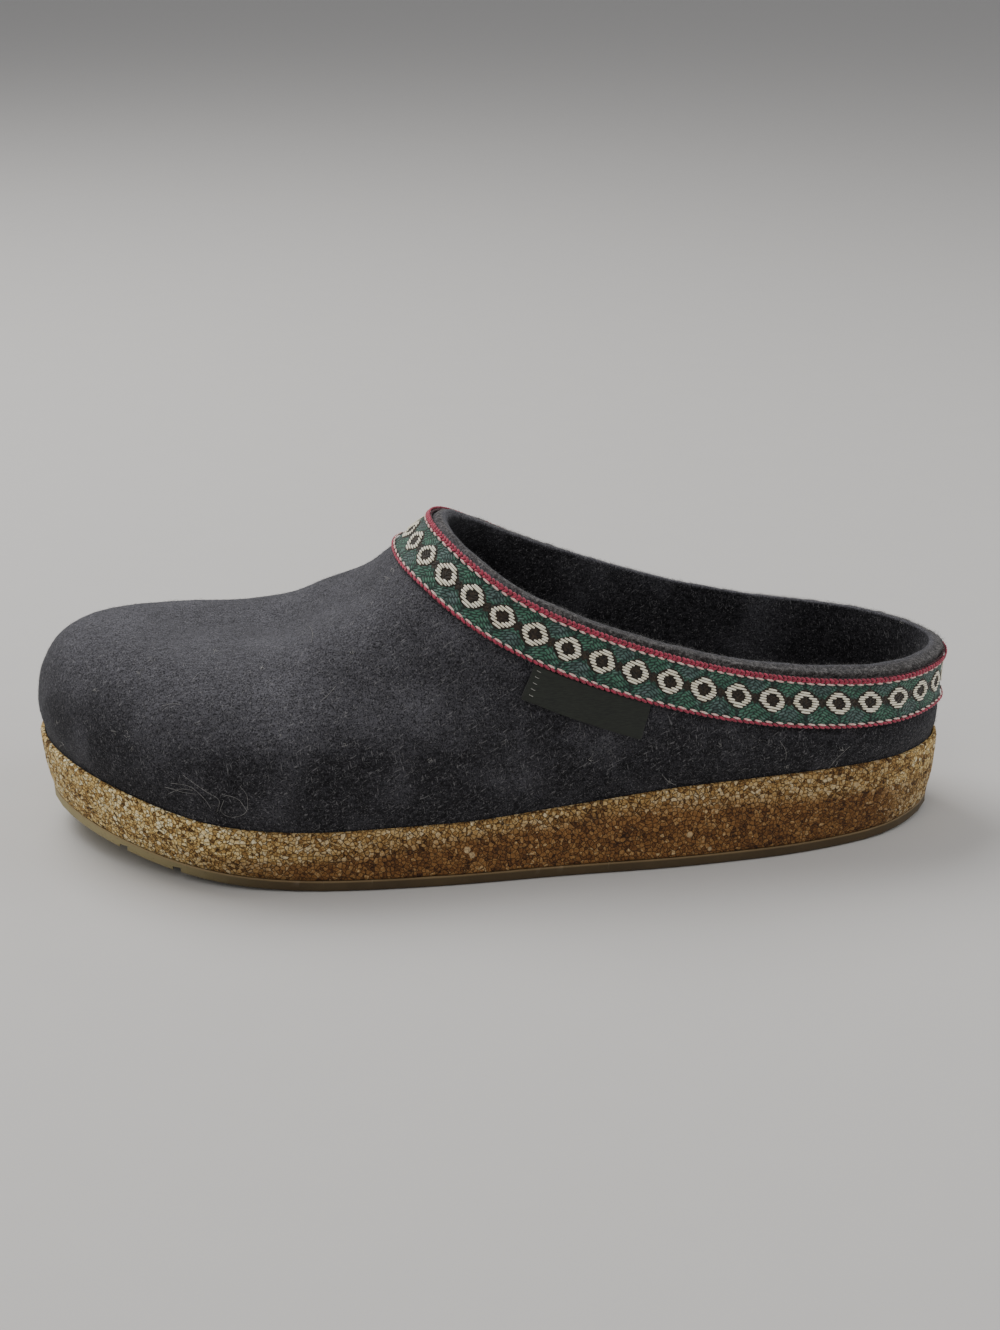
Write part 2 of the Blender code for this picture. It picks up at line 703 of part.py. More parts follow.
def centre_on_floor(things):
    """Move everything so that the middle of the shoe's box, on the floor, is the origin."""
    bpy.context.view_layer.update()
    corners = []
    for thing in things:
        if not thing.hide_render:
            corners += [tuple(v.co) for v in thing.data.vertices]
    corners = np.array(corners)
    low = corners.min(axis=0)
    high = corners.max(axis=0)
    shift = (-(low[0] + high[0]) / 2, -(low[1] + high[1]) / 2, -low[2])
    for thing in things:
        for vertex in thing.data.vertices:
            vertex.co.x += shift[0]
            vertex.co.y += shift[1]
            vertex.co.z += shift[2]
    print("box", [round(float(v) * 1000, 2) for v in high - low], "shift",
          [round(float(v) * 1000, 2) for v in shift])


def main():
    for thing in list(bpy.data.objects):
        bpy.data.objects.remove(thing, do_unlink=True)
    sole, cutter = build_outsole()
    things = [sole, cutter, build_midsole(), build_insole(), build_upper(), build_ribbon(), build_tag()]
    centre_on_floor(things)


main()
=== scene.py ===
# %% [markdown]
# A felt clog slipper, dressed.
#
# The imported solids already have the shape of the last: a cork midsole on a thin rubber sole, a felt
# upper with a real wall, an insole, a ribbon round the collar and a small cloth tag. This lesson
# gives each of them its finish. A merged copy of a solid is smoothed with Subdivision Surface, the
# small soft forms are pressed into it, and what is too fine for the solids is added: threads of the
# ribbon, the braid of its edges, the nap of the wool, lint and stray hairs.

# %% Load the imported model
import math

import bmesh
import bpy
import numpy as np
from mathutils import Matrix, Vector, noise
from mathutils.bvhtree import BVHTree


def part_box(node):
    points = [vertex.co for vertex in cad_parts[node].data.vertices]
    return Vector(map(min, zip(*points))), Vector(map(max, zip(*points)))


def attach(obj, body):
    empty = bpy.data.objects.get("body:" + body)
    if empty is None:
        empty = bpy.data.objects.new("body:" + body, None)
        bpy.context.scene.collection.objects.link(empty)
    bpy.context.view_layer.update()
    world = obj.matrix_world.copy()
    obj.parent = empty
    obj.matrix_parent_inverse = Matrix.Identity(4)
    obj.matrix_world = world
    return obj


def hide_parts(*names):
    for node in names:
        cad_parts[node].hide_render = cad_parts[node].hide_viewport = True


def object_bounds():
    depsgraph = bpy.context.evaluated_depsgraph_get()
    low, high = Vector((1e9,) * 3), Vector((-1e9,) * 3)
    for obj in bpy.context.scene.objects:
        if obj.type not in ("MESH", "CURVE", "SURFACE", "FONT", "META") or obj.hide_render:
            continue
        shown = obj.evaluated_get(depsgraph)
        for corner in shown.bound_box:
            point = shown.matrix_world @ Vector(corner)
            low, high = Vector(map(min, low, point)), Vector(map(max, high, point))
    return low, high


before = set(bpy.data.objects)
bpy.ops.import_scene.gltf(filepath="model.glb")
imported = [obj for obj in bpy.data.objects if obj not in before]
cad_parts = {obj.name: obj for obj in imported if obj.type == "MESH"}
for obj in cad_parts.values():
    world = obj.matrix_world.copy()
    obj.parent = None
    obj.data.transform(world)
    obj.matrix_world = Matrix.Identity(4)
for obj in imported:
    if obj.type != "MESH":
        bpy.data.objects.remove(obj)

CAD_BOX = [list(corner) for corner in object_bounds()]
MM = 0.001
chance = np.random.default_rng(38)
print("solids:", ", ".join(sorted(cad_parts)))

# %% [markdown]
# The camera comes first, because everything is judged through it. The photograph was taken from the
# outer side of the left shoe, a little from the front and from above. A camera is given by the point
# it looks at, two angles round that point, its roll, its distance and its lens.

# %% Camera at the photograph's angle
PHOTO_WIDE = 1000
PHOTO_TALL = 1330
LOOK_AT = Vector((0.00011, -0.00118, 0.040))
TURN = math.radians(6.4)
ELEVATION = math.radians(21.5)
ROLL = math.radians(1.0)
DISTANCE = 0.6645
FOCAL_PIXELS = 2276.6
SENSOR = 36.0
AIM_UP = 6.5 * MM
AIM_RIGHT = 0.6 * MM

back = Vector((
    math.sin(TURN) * math.cos(ELEVATION),
    math.cos(TURN) * math.cos(ELEVATION),
    math.sin(ELEVATION),
))
level_right = Vector((0, 0, 1)).cross(back).normalized()
level_up = back.cross(level_right)
right = level_right * math.cos(ROLL) + level_up * math.sin(ROLL)
up = level_up * math.cos(ROLL) - level_right * math.sin(ROLL)
eye = LOOK_AT + back * DISTANCE
aim = LOOK_AT + up * AIM_UP + right * AIM_RIGHT

axis_z = (eye - aim).normalized()
axis_x = up.cross(axis_z).normalized()
axis_y = axis_z.cross(axis_x)
camera = bpy.data.objects.new("camera", bpy.data.cameras.new("camera"))
camera.matrix_world = Matrix.Translation(eye) @ Matrix((axis_x, axis_y, axis_z)).transposed().to_4x4()
camera.data.sensor_width = SENSOR
camera.data.lens = FOCAL_PIXELS * SENSOR / PHOTO_TALL
camera.data.clip_start = 0.05
bpy.context.scene.collection.objects.link(camera)
bpy.context.scene.camera = camera
print("lens %.1f mm, %.0f mm away" % (camera.data.lens, DISTANCE / MM))

# %% [markdown]
# Soft studio light: the strongest lamp stands above, behind the toe, a weaker one fills from the
# camera's side of the toe, the weakest lights the heel, and a pale floor throws some of it back.

# %% Floor, lamps and sky
FLOOR_SIZE = 9.0
FLOOR_COLOUR = (0.60, 0.59, 0.575, 1.0)


def lamp(name, place, size, watts, colour):
    """A square area lamp that faces the shoe."""
    light = bpy.data.lights.new(name, "AREA")
    light.shape = "SQUARE"
    light.size = size
    light.energy = watts
    light.color = colour
    thing = bpy.data.objects.new(name, light)
    thing.location = place
    thing.rotation_euler = (Vector((0, 0, 0.04)) - Vector(place)).to_track_quat("-Z", "Y").to_euler()
    bpy.context.scene.collection.objects.link(thing)
    return thing


lamp("key_lamp", (0.55, -0.55, 1.15), 0.9, 15.5, (1.0, 0.985, 0.965))
lamp("front_lamp", (0.45, 1.05, 1.05), 1.1, 6.0, (1.0, 0.97, 0.93))
lamp("heel_lamp", (-1.10, 0.15, 0.55), 0.8, 4.5, (1.0, 0.99, 0.97))

world = bpy.data.worlds.new("studio")
world.use_nodes = True
sky = world.node_tree.nodes["Background"]
sky.inputs["Color"].default_value = (0.98, 0.98, 1.0, 1.0)
sky.inputs["Strength"].default_value = 0.34
bpy.context.scene.world = world

bm = bmesh.new()
bmesh.ops.create_grid(bm, x_segments=1, y_segments=1, size=FLOOR_SIZE / 2)
floor_mesh = bpy.data.meshes.new("floor")
bm.to_mesh(floor_mesh)
bm.free()
floor = bpy.data.objects.new("floor", floor_mesh)
bpy.context.scene.collection.objects.link(floor)
print("lamps and floor are in")

# %% [markdown]
# Materials are easier to read as sums than as boxes and wires. Value wraps a socket, so that
# 1 - mask or height * 0.3 adds the Math node it stands for. Finish holds one material's nodes.

# %% Shader sums in Python


class Value:
    """A number that varies over a surface: a shader socket that Python's operators work on."""

    def __init__(self, finish, socket):
        self.finish = finish
        self.socket = socket

    def math(self, operation, *others, clamp=False):
        node = self.finish.node("Math", {"operation": operation, "use_clamp": clamp}, self, *others)
        return Value(self.finish, node.outputs[0])

    def __add__(self, other):
        return self.math("ADD", other)

    def __radd__(self, other):
        return self.math("ADD", other)

    def __sub__(self, other):
        return self.math("SUBTRACT", other)

    def __rsub__(self, other):
        return (self * -1.0) + other

    def __mul__(self, other):
        return self.math("MULTIPLY", other)

    def __rmul__(self, other):
        return self.math("MULTIPLY", other)

    def __truediv__(self, other):
        return self.math("DIVIDE", other)

    def __abs__(self):
        return self.math("ABSOLUTE")

    def __pow__(self, other):
        return self.math("POWER", other)

    def __gt__(self, other):
        return self.math("GREATER_THAN", other)

    def fract(self):
        return self.math("FRACT")

    def floor(self):
        return self.math("FLOOR")

    def sine(self):
        return self.math("SINE")

    def clamp(self):
        return self.math("ADD", 0.0, clamp=True)

    def rise(self, start, end):
        """0 up to start, 1 from end, and a soft step between; start may be the larger one."""
        if start > end:
            return 1.0 - self.rise(end, start)
        node = self.finish.node(
            "MapRange", {"interpolation_type": "SMOOTHSTEP"}, self, start, end, 0.0, 1.0)
        return Value(self.finish, node.outputs[0])


class Finish:
    """One material and the nodes that make it."""

    def __init__(self, name, roughness=0.8, **fixed):
        self.material = bpy.data.materials.new(name)
        self.material.use_nodes = True
        self.tree = self.material.node_tree
        self.surface = self.tree.nodes["Principled BSDF"]
        self.surface.inputs["Roughness"].default_value = roughness
        for key, value in fixed.items():
            self.surface.inputs[key.replace("_", " ")].default_value = value

    def feed(self, socket, value):
        """Link a value to a socket, or set the number or colour it stays at."""
        if isinstance(value, Value):
            value = value.socket
        if isinstance(value, bpy.types.NodeSocket):
            self.tree.links.new(value, socket)
        elif value is not None:
            socket.default_value = value

    def node(self, kind, settings=None, *inputs, **named):
        """Add a node: its type, its settings, then its inputs in order or by name."""
        made = self.tree.nodes.new("ShaderNode" + kind)
        for key, value in (settings or {}).items():
            if key == "stops":
                ramp = made.color_ramp
                while len(ramp.elements) < len(value):
                    ramp.elements.new(0.5)
                for element, (place, colour) in zip(ramp.elements, value):
                    element.position = place
                    element.color = (*colour, 1.0)
            else:
                setattr(made, key, value)
        for socket, value in zip(made.inputs, inputs):
            self.feed(socket, value)
        for key, value in named.items():
            self.feed(made.inputs[key.replace("_", " ")], value)
        return made

    def place(self, longer=(1.0, 1.0, 1.0), turn=(0.0, 0.0, 0.0)):
        """Object coordinates; a pattern on them may be turned, and longer along its own axes."""
        where = self.node("TexCoord").outputs["Object"]
        if longer == (1.0, 1.0, 1.0):
            return where
        return self.node("Mapping", {"vector_type": "TEXTURE"}, Vector=where, Rotation=turn,
                         Scale=longer).outputs["Vector"]

    def along(self):
        """The piece's own UV map, as two values."""
        split = self.node("SeparateXYZ", None, self.node("UVMap", {"uv_map": "weave"}).outputs["UV"])
        return Value(self, split.outputs["X"]), Value(self, split.outputs["Y"])

    def attribute(self, name):
        return Value(self, self.node("Attribute", {"attribute_name": name}).outputs["Fac"])

    def noise(self, where, scale, detail=3.0, rough=0.5):
        """Cloudy noise from 0 to 1."""
        node = self.node("TexNoise", None, Vector=where, Scale=scale, Detail=detail, Roughness=rough)
        return Value(self, node.outputs["Fac"])

    def cells(self, where, scale, feature="F1", output="Distance"):
        """Voronoi cells: distance to a cell's middle or edge, or a random colour for each cell."""
        node = self.node("TexVoronoi", {"feature": feature}, Vector=where, Scale=scale)
        return Value(self, node.outputs[output])

    def ramp(self, value, *stops):
        return self.node("ValToRGB", {"stops": stops}, value).outputs["Color"]

    def mix(self, share, first, second):
        """Blend two colours; each is a socket or three numbers."""
        made = self.node("Mix", {"data_type": "RGBA"}, share)
        for socket, colour in ((made.inputs[6], first), (made.inputs[7], second)):
            if isinstance(colour, tuple):
                colour = (*colour[:3], 1.0)
            self.feed(socket, colour)
        return made.outputs[2]

    def bump(self, height, distance, strength=1.0, under=None):
        made = self.node("Bump", None, Height=height, Distance=distance, Strength=strength)
        if under is not None:
            self.feed(made.inputs["Normal"], under)
        return made.outputs["Normal"]

    def coat(self, **sockets):
        """Feed the shader's own sockets, and give the material."""
        for key, value in sockets.items():
            self.feed(self.surface.inputs[key.replace("_", " ")], value)
        return self.material


floor_finish = Finish("pale_floor", roughness=0.9)
grain = floor_finish.noise(floor_finish.place(), 60.0, 4.0)
floor_mesh.materials.append(floor_finish.coat(
    Base_Color=floor_finish.mix(grain * 0.25, FLOOR_COLOUR, (0.66, 0.65, 0.64))))
print("materials can be written as sums")

# %% [markdown]
# The solids are loose triangles. A merged copy with its triangles joined into four-sided faces
# smooths well: Subdivision Surface then rounds the form, and edges that are sharp on the real piece
# are creased first so that they stay.

# %% Smooth copies of the solids
FLAT_ENOUGH = math.radians(120)
CORNER_ROUNDS = 4
CORNER_SHARE = 0.9


def copy_of(node):
    """A bmesh copy of a solid: merged, and with its triangles joined into quads."""
    bm = bmesh.new()
    bm.from_mesh(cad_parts[node].data)
    bmesh.ops.remove_doubles(bm, verts=bm.verts, dist=1e-6)
    bmesh.ops.join_triangles(
        bm, faces=bm.faces, angle_face_threshold=FLAT_ENOUGH, angle_shape_threshold=math.pi)
    return bm


def crease_sharp(bm, sharper_than, amount=1.0):
    """Crease the edges that fold by more than an angle, so that smoothing leaves them."""
    layer = bm.edges.layers.float.new("crease_edge")
    for edge in bm.edges:
        if len(edge.link_faces) == 2 and edge.calc_face_angle(0.0) > sharper_than:
            edge[layer] = amount


def show(name, mesh, *materials):
    """Put a mesh in the scene as one piece that rides with the shoe."""
    for material in materials:
        mesh.materials.append(material)
    mesh.shade_smooth()
    thing = bpy.data.objects.new(name, mesh)
    bpy.context.scene.collection.objects.link(thing)
    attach(thing, "root")
    return thing


def read_all(parts, name, numbers=3):
    """One property of all vertices or faces, as an array with a row for each."""
    values = np.zeros(len(parts) * numbers)
    parts.foreach_get(name, values)
    return values.reshape(-1, numbers)


def corners_of(mesh):
    """Points and normals of a mesh's vertices as arrays."""
    return read_all(mesh.vertices, "co"), read_all(mesh.vertices, "normal")


def move_corners(mesh, points):
    mesh.vertices.foreach_set("co", np.asarray(points, float).ravel())
    mesh.update()


def mark(mesh, name, values):
    """Give a mesh a number at each vertex, for its material to read."""
    layer = mesh.attributes.new(name, "FLOAT", "POINT")
    layer.data.foreach_set("value", np.asarray(values, np.float32))


def smoothed(bm, name, levels):
    """The mesh that Subdivision Surface makes of a bmesh, through the bmesh's own corners.

    Smoothing shrinks a form a little, so the corners are first moved out by what it would take.
    """
    mesh = bpy.data.meshes.new(name)
    bm.to_mesh(mesh)
    bm.free()
    thing = bpy.data.objects.new(name, mesh)
    bpy.context.scene.collection.objects.link(thing)
    smooth = thing.modifiers.new("smooth", "SUBSURF")
    wanted = corners_of(mesh)[0]
    control = wanted.copy()
    smooth.levels = smooth.render_levels = 1
    for _ in range(CORNER_ROUNDS):
        bpy.context.view_layer.update()
        graph = bpy.context.evaluated_depsgraph_get()
        now = corners_of(thing.evaluated_get(graph).data)[0][:len(wanted)]
        control += (wanted - now) * CORNER_SHARE
        move_corners(mesh, control)
    smooth.levels = levels
    smooth.render_levels = levels
    bpy.context.view_layer.update()
    graph = bpy.context.evaluated_depsgraph_get()
    done = bpy.data.meshes.new_from_object(thing.evaluated_get(graph))
    print(name, "keeps its corners within %.2f mm" % (
        np.linalg.norm(corners_of(done)[0][:len(wanted)] - wanted, axis=1).max() / MM))
    bpy.data.objects.remove(thing)
    bpy.data.meshes.remove(mesh)
    done.name = name
    return done


def soft_step(value, start, end):
    """0 up to start, 1 from end, smooth between."""
    t = np.clip((value - start) / (end - start), 0.0, 1.0)
    return t * t * (3 - 2 * t)


def tree_over(mesh):
    """A search tree over a mesh's faces."""
    return BVHTree.FromPolygons([v.co for v in mesh.vertices], [p.vertices for p in mesh.polygons])


def tree_of(node):
    return tree_over(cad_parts[node].data)


def distance_to(tree, points):
    return np.array([tree.find_nearest(Vector(p))[3] for p in points])


def kept_near(tree, points, reach):
    """The points, drawn back to within a reach of a solid's faces."""
    near = np.array([tree.find_nearest(Vector(p))[0] for p in points])
    away = np.linalg.norm(points - near, axis=1)
    share = np.minimum(reach / np.maximum(away, 1e-9), 1.0)
    return near + (points - near) * share[:, None]


def clouds(points, size, seed=0.0):
    """Smooth noise from -1 to 1 at each point, with features of the given size."""
    return np.array([noise.noise(Vector(p) / size + Vector((seed, 0, 0))) for p in points])


print("helpers for copies are ready")

# %% [markdown]
# The ribbon is woven flat and sewn round the collar. Everything on it, from the rings of its pattern
# to the cords on its edges, is laid out in millimetres along and across, and then carried to the
# felt. So the first step is a function that turns along, across and proud into a place. It reads the
# four lines of points that run round the front face of the ribbon's solid.

# %% Lines round the ribbon's front face
COLUMNS = 92


def ring_after(vert, away):
    """Walk one closed line of a grid of quads, starting from a vertex away from a neighbour."""
    line = [vert]
    edge = next(e for e in vert.link_edges if e.other_vert(vert) is away)
    while True:
        beyond = edge.other_vert(line[-1])
        if beyond is line[0]:
            return line
        line.append(beyond)
        edge = next(e for e in beyond.link_edges if not set(e.link_faces) & set(edge.link_faces))


def lines_round(node):
    """A solid that is a closed grid of quads, as its lines round the shoe in order."""
    bm = copy_of(node)
    bm.verts.ensure_lookup_table()
    start = max(bm.verts, key=lambda v: v.co.z)
    walks = [ring_after(start, edge.other_vert(start)) for edge in start.link_edges]
    across = next(walk for walk in walks if len(walk) != COLUMNS)
    around = next(walk for walk in walks if len(walk) == COLUMNS)
    first_step = around[1].co - start.co
    lines = []
    for vert in across:
        beside = [e.other_vert(vert) for e in vert.link_edges if e.other_vert(vert) not in across]
        away = max(beside, key=lambda v: (v.co - vert.co).dot(first_step))
        lines.append([tuple(v.co) for v in ring_after(vert, away)])
    bm.free()
    return np.array(lines)


ribbon_lines = lines_round("collar_ribbon")
felt_tree = tree_of("upper")
proud = np.array([distance_to(felt_tree, line[::8]).mean() for line in ribbon_lines])
front = np.argsort(proud)[len(proud) // 2:]
FRONT_LINES = ribbon_lines[sorted(front, key=lambda k: -ribbon_lines[k][:, 2].mean())]
print("front face:", FRONT_LINES.shape, "proud by mm", (proud[front] / MM).round(2))

# %% [markdown]
# A closed curve is read between its points with a periodic cubic, and across the ribbon the same is
# done over the four lines. The ribbon is measured along its middle from the inner side of the
# throat, where its ends meet on the real shoe. Its upper cords reach a little over the solid's edge.

# %% From along, across and proud to a place
JOIN_AT_X = 0.0
FINE = 4000
RAISED = 0.06


def cubic(a, b, c, d, t):
    """From b at t = 0 to c at t = 1, on a smooth curve through all four points."""
    return 0.5 * (2 * b + (c - a) * t + (2 * a - 5 * b + 4 * c - d) * t ** 2
                  + (3 * b - a - 3 * c + d) * t ** 3)


def round_curve(line, where):
    """Points of a closed cubic curve through a line's points, at places counted in points."""
    i = np.floor(where).astype(int)
    return cubic(*(line[(i + k) % len(line)] for k in (-1, 0, 1, 2)), (where - i)[:, None])


turn_fine = np.linspace(0.0, COLUMNS, FINE + 1)
middle = (round_curve(FRONT_LINES[1], turn_fine) + round_curve(FRONT_LINES[2], turn_fine)) / 2
steps = np.linalg.norm(np.diff(middle, axis=0), axis=1)
RIBBON_LENGTH = steps.sum()
on_inner_side = middle[:, 1] < 0
join = int(np.argmin(np.where(on_inner_side, abs(middle[:, 0] - JOIN_AT_X), 9.0)))
along_fine = np.concatenate([[0.0], np.cumsum(steps)])
along_fine -= along_fine[join]
WIDTH_LINE = round_curve(FRONT_LINES[3], turn_fine) - round_curve(FRONT_LINES[0], turn_fine)
RIBBON_WIDTH = float(np.linalg.norm(WIDTH_LINE, axis=1).mean())


def on_ribbon_face(along, across):
    """A place on the ribbon's front face; across is 0 at the top edge and 1 at the lower one."""
    lap = np.mod(along - along_fine[0], RIBBON_LENGTH) + along_fine[0]
    turn = np.interp(lap, along_fine, turn_fine)
    rows = [round_curve(line, turn) for line in FRONT_LINES]
    w = (np.asarray(across)[:, None] * (1 + RAISED) - RAISED) * 3
    return (rows[0] * (w - 1) * (w - 2) * (w - 3) / -6 + rows[1] * w * (w - 2) * (w - 3) / 2
            + rows[2] * w * (w - 1) * (w - 3) / -2 + rows[3] * w * (w - 1) * (w - 2) / 6)


def on_ribbon(along, across, proud):
    """A place above the ribbon's face: metres along, share across and metres proud."""
    along, across = np.asarray(along, float), np.asarray(across, float)
    small = 0.2 * MM
    here = on_ribbon_face(along, across)
    ahead = on_ribbon_face(along + small, across) - here
    share = small / RIBBON_WIDTH
    down = on_ribbon_face(along, across + share) - here
    normal = np.cross(ahead, down) * FACE_SIGN
    normal /= np.linalg.norm(normal, axis=1)[:, None]
    return here + normal * np.asarray(proud)[:, None]


FACE_SIGN = 1.0
probe = on_ribbon([0.0, 0.1, 0.2], [0.5] * 3, [1.0 * MM] * 3)
if distance_to(felt_tree, probe).mean() < proud[front].mean():
    FACE_SIGN = -1.0
print("ribbon %.0f mm long, %.1f mm wide, join at x %.0f mm" % (
    RIBBON_LENGTH / MM, RIBBON_WIDTH / MM, middle[join][0] / MM))

# %% [markdown]
# The ribbon's ground is a plain weave in greens and blue-greens. Its cloth is one strip from a grid,
# bent round the collar, given a thickness, and longer than the way round: the spare end is turned
# over the other one on the inner side of the throat, as on the real shoe. The strip carries a UV
# map, one unit for each ring of the pattern along and one for the width across.

# %% Ribbon cloth
RINGS = 40
RING_PITCH = RIBBON_LENGTH / RINGS
OVERLAP = 8.5 * MM
TURNED_UNDER = 2.0 * MM
LAST_FLOAT_AT = RIBBON_LENGTH + OVERLAP - TURNED_UNDER
CLOTH_SINK = 0.45 * MM
CLOTH_THICKNESS = 0.60 * MM
OVERLAP_LIFT = 1.05 * MM
LIFT_LENGTH = 7.0 * MM
CLOTH_SEGMENTS = (480, 16)
CLOTH_BULGE = 0.10 * MM
END_DROOP = 0.35 * MM


def lap_lift(along):
    """How far the ribbon rises where its end lies over its beginning."""
    return OVERLAP_LIFT * soft_step(along, RIBBON_LENGTH - LIFT_LENGTH, RIBBON_LENGTH)


def ribbon_cloth():
    bm = bmesh.new()
    bmesh.ops.create_grid(bm, x_segments=CLOTH_SEGMENTS[0], y_segments=CLOTH_SEGMENTS[1], size=0.5)
    bm.verts.ensure_lookup_table()
    flat = np.array([v.co for v in bm.verts])
    along = (flat[:, 0] + 0.5) * (RIBBON_LENGTH + OVERLAP)
    across = 0.5 - flat[:, 1]
    bulge = CLOTH_BULGE * np.sin(np.pi * across)
    droop = END_DROOP * soft_step(along, LAST_FLOAT_AT, RIBBON_LENGTH + OVERLAP)
    places = on_ribbon(along, across, lap_lift(along) + bulge - droop - CLOTH_SINK)
    for vert, place in zip(bm.verts, places):
        vert.co = place
    weave = bm.loops.layers.uv.new("weave")
    for face in bm.faces:
        for loop in face.loops:
            k = loop.vert.index
            loop[weave].uv = (along[k] / RING_PITCH, across[k])
    bmesh.ops.recalc_face_normals(bm, faces=bm.faces)
    some = list(bm.faces)[::97]
    here = distance_to(felt_tree, [face.calc_center_median() for face in some])
    ahead = distance_to(felt_tree, [face.calc_center_median() + face.normal * MM for face in some])
    if (ahead - here).sum() < 0:
        bmesh.ops.reverse_faces(bm, faces=bm.faces)
    bmesh.ops.solidify(bm, geom=bm.faces, thickness=CLOTH_THICKNESS)
    mesh = bpy.data.meshes.new("ribbon_cloth")
    bm.to_mesh(mesh)
    bm.free()
    return mesh


cloth_mesh = ribbon_cloth()
print("cloth of %d faces, %d rings %.2f mm apart" % (len(cloth_mesh.polygons), RINGS, RING_PITCH / MM))

# %% [markdown]
# The pattern is traditional: a chain of cream rings with dark hearts on green, joined by small dark
# links. The cream threads are added in the next step, so the cloth itself only carries the green
# ground, the hearts, the shadow round each ring, the links and a dark red bed for the braid. The
# ground is leaning rows of stitches, green or blue-grey by turns in the lobes beside each link, with
# painted shade in the gaps between the stitches.

# %% Weave finish of the ribbon
RING_ALONG = 3.95 * MM
RING_ACROSS = 3.05 * MM
RING_SQUARE = 1.5
RED_ABOVE = 0.095
RED_BELOW = 0.940
LOBE_ALONG = 3.0
LOBE_ACROSS = 2.0
LOBE_AWAY = 3.9
STITCH_LONG = 1.9 * MM
STITCH_ROW = 0.78 * MM
STITCH_LEAN = 0.45


def weave_finish():
    f = Finish("woven_ribbon", roughness=0.85, Sheen_Weight=0.15, Sheen_Roughness=0.5)
    u, v = f.along()
    x = (u.fract() - 0.5) * (RING_PITCH / MM)
    y = (v - 0.5) * (RIBBON_WIDTH / MM)
    ring = (abs(x / (RING_ALONG / MM)) ** RING_SQUARE + abs(y / (RING_ACROSS / MM)) ** RING_SQUARE)
    to_link = (RING_PITCH / MM) / 2 - abs(x)
    link = (to_link * 0.7 + abs(y)).rise(1.8, 1.2)
    where = f.place()
    wander = f.noise(where, 420.0, 2.0) * 0.8
    row = (y + abs(x) * STITCH_LEAN + wander) / (STITCH_ROW / MM)
    shift = row.floor() * 0.37
    stitch = (u * (RING_PITCH / STITCH_LONG) + shift + wander).fract()
    tuft = (stitch * math.pi).sine() * (row.fract() * math.pi).sine()
    mottle = f.cells(where, 700.0, "F1", "Color")
    cloud = f.noise(where, 330.0, 3.0)
    green = f.ramp(mottle * 0.8 + cloud * 0.6 - 0.2,
                   (0.10, (0.012, 0.036, 0.028)), (0.36, (0.030, 0.098, 0.068)),
                   (0.60, (0.058, 0.175, 0.118)), (0.82, (0.130, 0.235, 0.195)))
    lobe = ((to_link / LOBE_ALONG) ** 2.0 + ((abs(y) - LOBE_AWAY) / LOBE_ACROSS) ** 2.0).rise(1.15, 0.7)
    other_kind = ((u + 0.5).floor() * 0.5 + (v > 0.5) * 0.5).fract() > 0.25
    lobe_colour = f.mix(other_kind, (0.066, 0.190, 0.120), (0.105, 0.145, 0.150))
    green = f.mix(lobe * (0.25 + mottle * 0.6), green, lobe_colour)
    seam = abs(x).rise(0.8, 0.2) * abs(y).rise(3.4, 3.8)
    green = f.mix(seam * 0.8, green, (0.006, 0.014, 0.012))
    # Dark between the stitch tufts: painted shade in the gaps between stitches
    ground = f.mix(tuft.rise(0.62, 0.10) * 0.88, green, (0.005, 0.014, 0.011))
    dark = f.ramp(f.noise(where, 1500.0, 2.0), (0.35, (0.004, 0.003, 0.002)), (0.7, (0.045, 0.030, 0.016)))
    shade = f.noise(where, 700.0, 2.0) * 0.24 - 0.12
    around = (ring + shade).rise(1.36, 1.18)
    colour = f.mix(link, f.mix(around, ground, dark), dark)
    edge = v.rise(RED_ABOVE, RED_ABOVE - 0.012) + v.rise(RED_BELOW, RED_BELOW + 0.012)
    colour = f.mix(edge.clamp(), colour, (0.050, 0.004, 0.010))
    bump = f.bump(tuft, 0.30 * MM, 1.0)
    bump = f.bump(f.noise(where, 4200.0, 2.0), 0.05 * MM, 0.5, bump)
    return f.coat(Base_Color=colour, Roughness=0.78 + cloud * 0.15, Normal=bump)


cloth = show("ribbon_cloth", cloth_mesh, weave_finish())
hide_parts("collar_ribbon")
print("ribbon cloth replaces the ribbon's solid")

# %% [markdown]
# Each cream ring is a stack of floats: rows of thread that all lean the same way. Rows near the
# middle are broken in two by the dark heart. One float is a small stretched ball, and the outline of
# the ring and its heart gives the length of each row. Hundreds of copies are one mesh: the float is
# made once with a bmesh operator, and its corners are then repeated.

# %% Repeat one small shape many times


def template(bm):
    """Corners and faces of a small shape, to be repeated."""
    corners = np.array([v.co for v in bm.verts])
    faces = [[v.index for v in face.verts] for face in bm.faces]
    bm.free()
    return corners, faces


def repeated(name, copies, faces):
    """One mesh from many moved copies of a shape: copies is an array of copies by corners."""
    count = copies.shape[1]
    together = [[k * count + i for i in face] for k in range(len(copies)) for face in faces]
    mesh = bpy.data.meshes.new(name)
    mesh.from_pydata(copies.reshape(-1, 3).tolist(), [], together)
    mesh.update()
    return mesh


def ball(segments, rings):
    bm = bmesh.new()
    bmesh.ops.create_uvsphere(bm, u_segments=segments, v_segments=rings, radius=1.0)
    bmesh.ops.rotate(bm, cent=(0, 0, 0), matrix=Matrix.Rotation(math.pi / 2, 3, "Y"), verts=bm.verts)
    return template(bm)


FLOAT_BALL, FLOAT_FACES = ball(6, 6)
print("a float has", len(FLOAT_FACES), "faces")

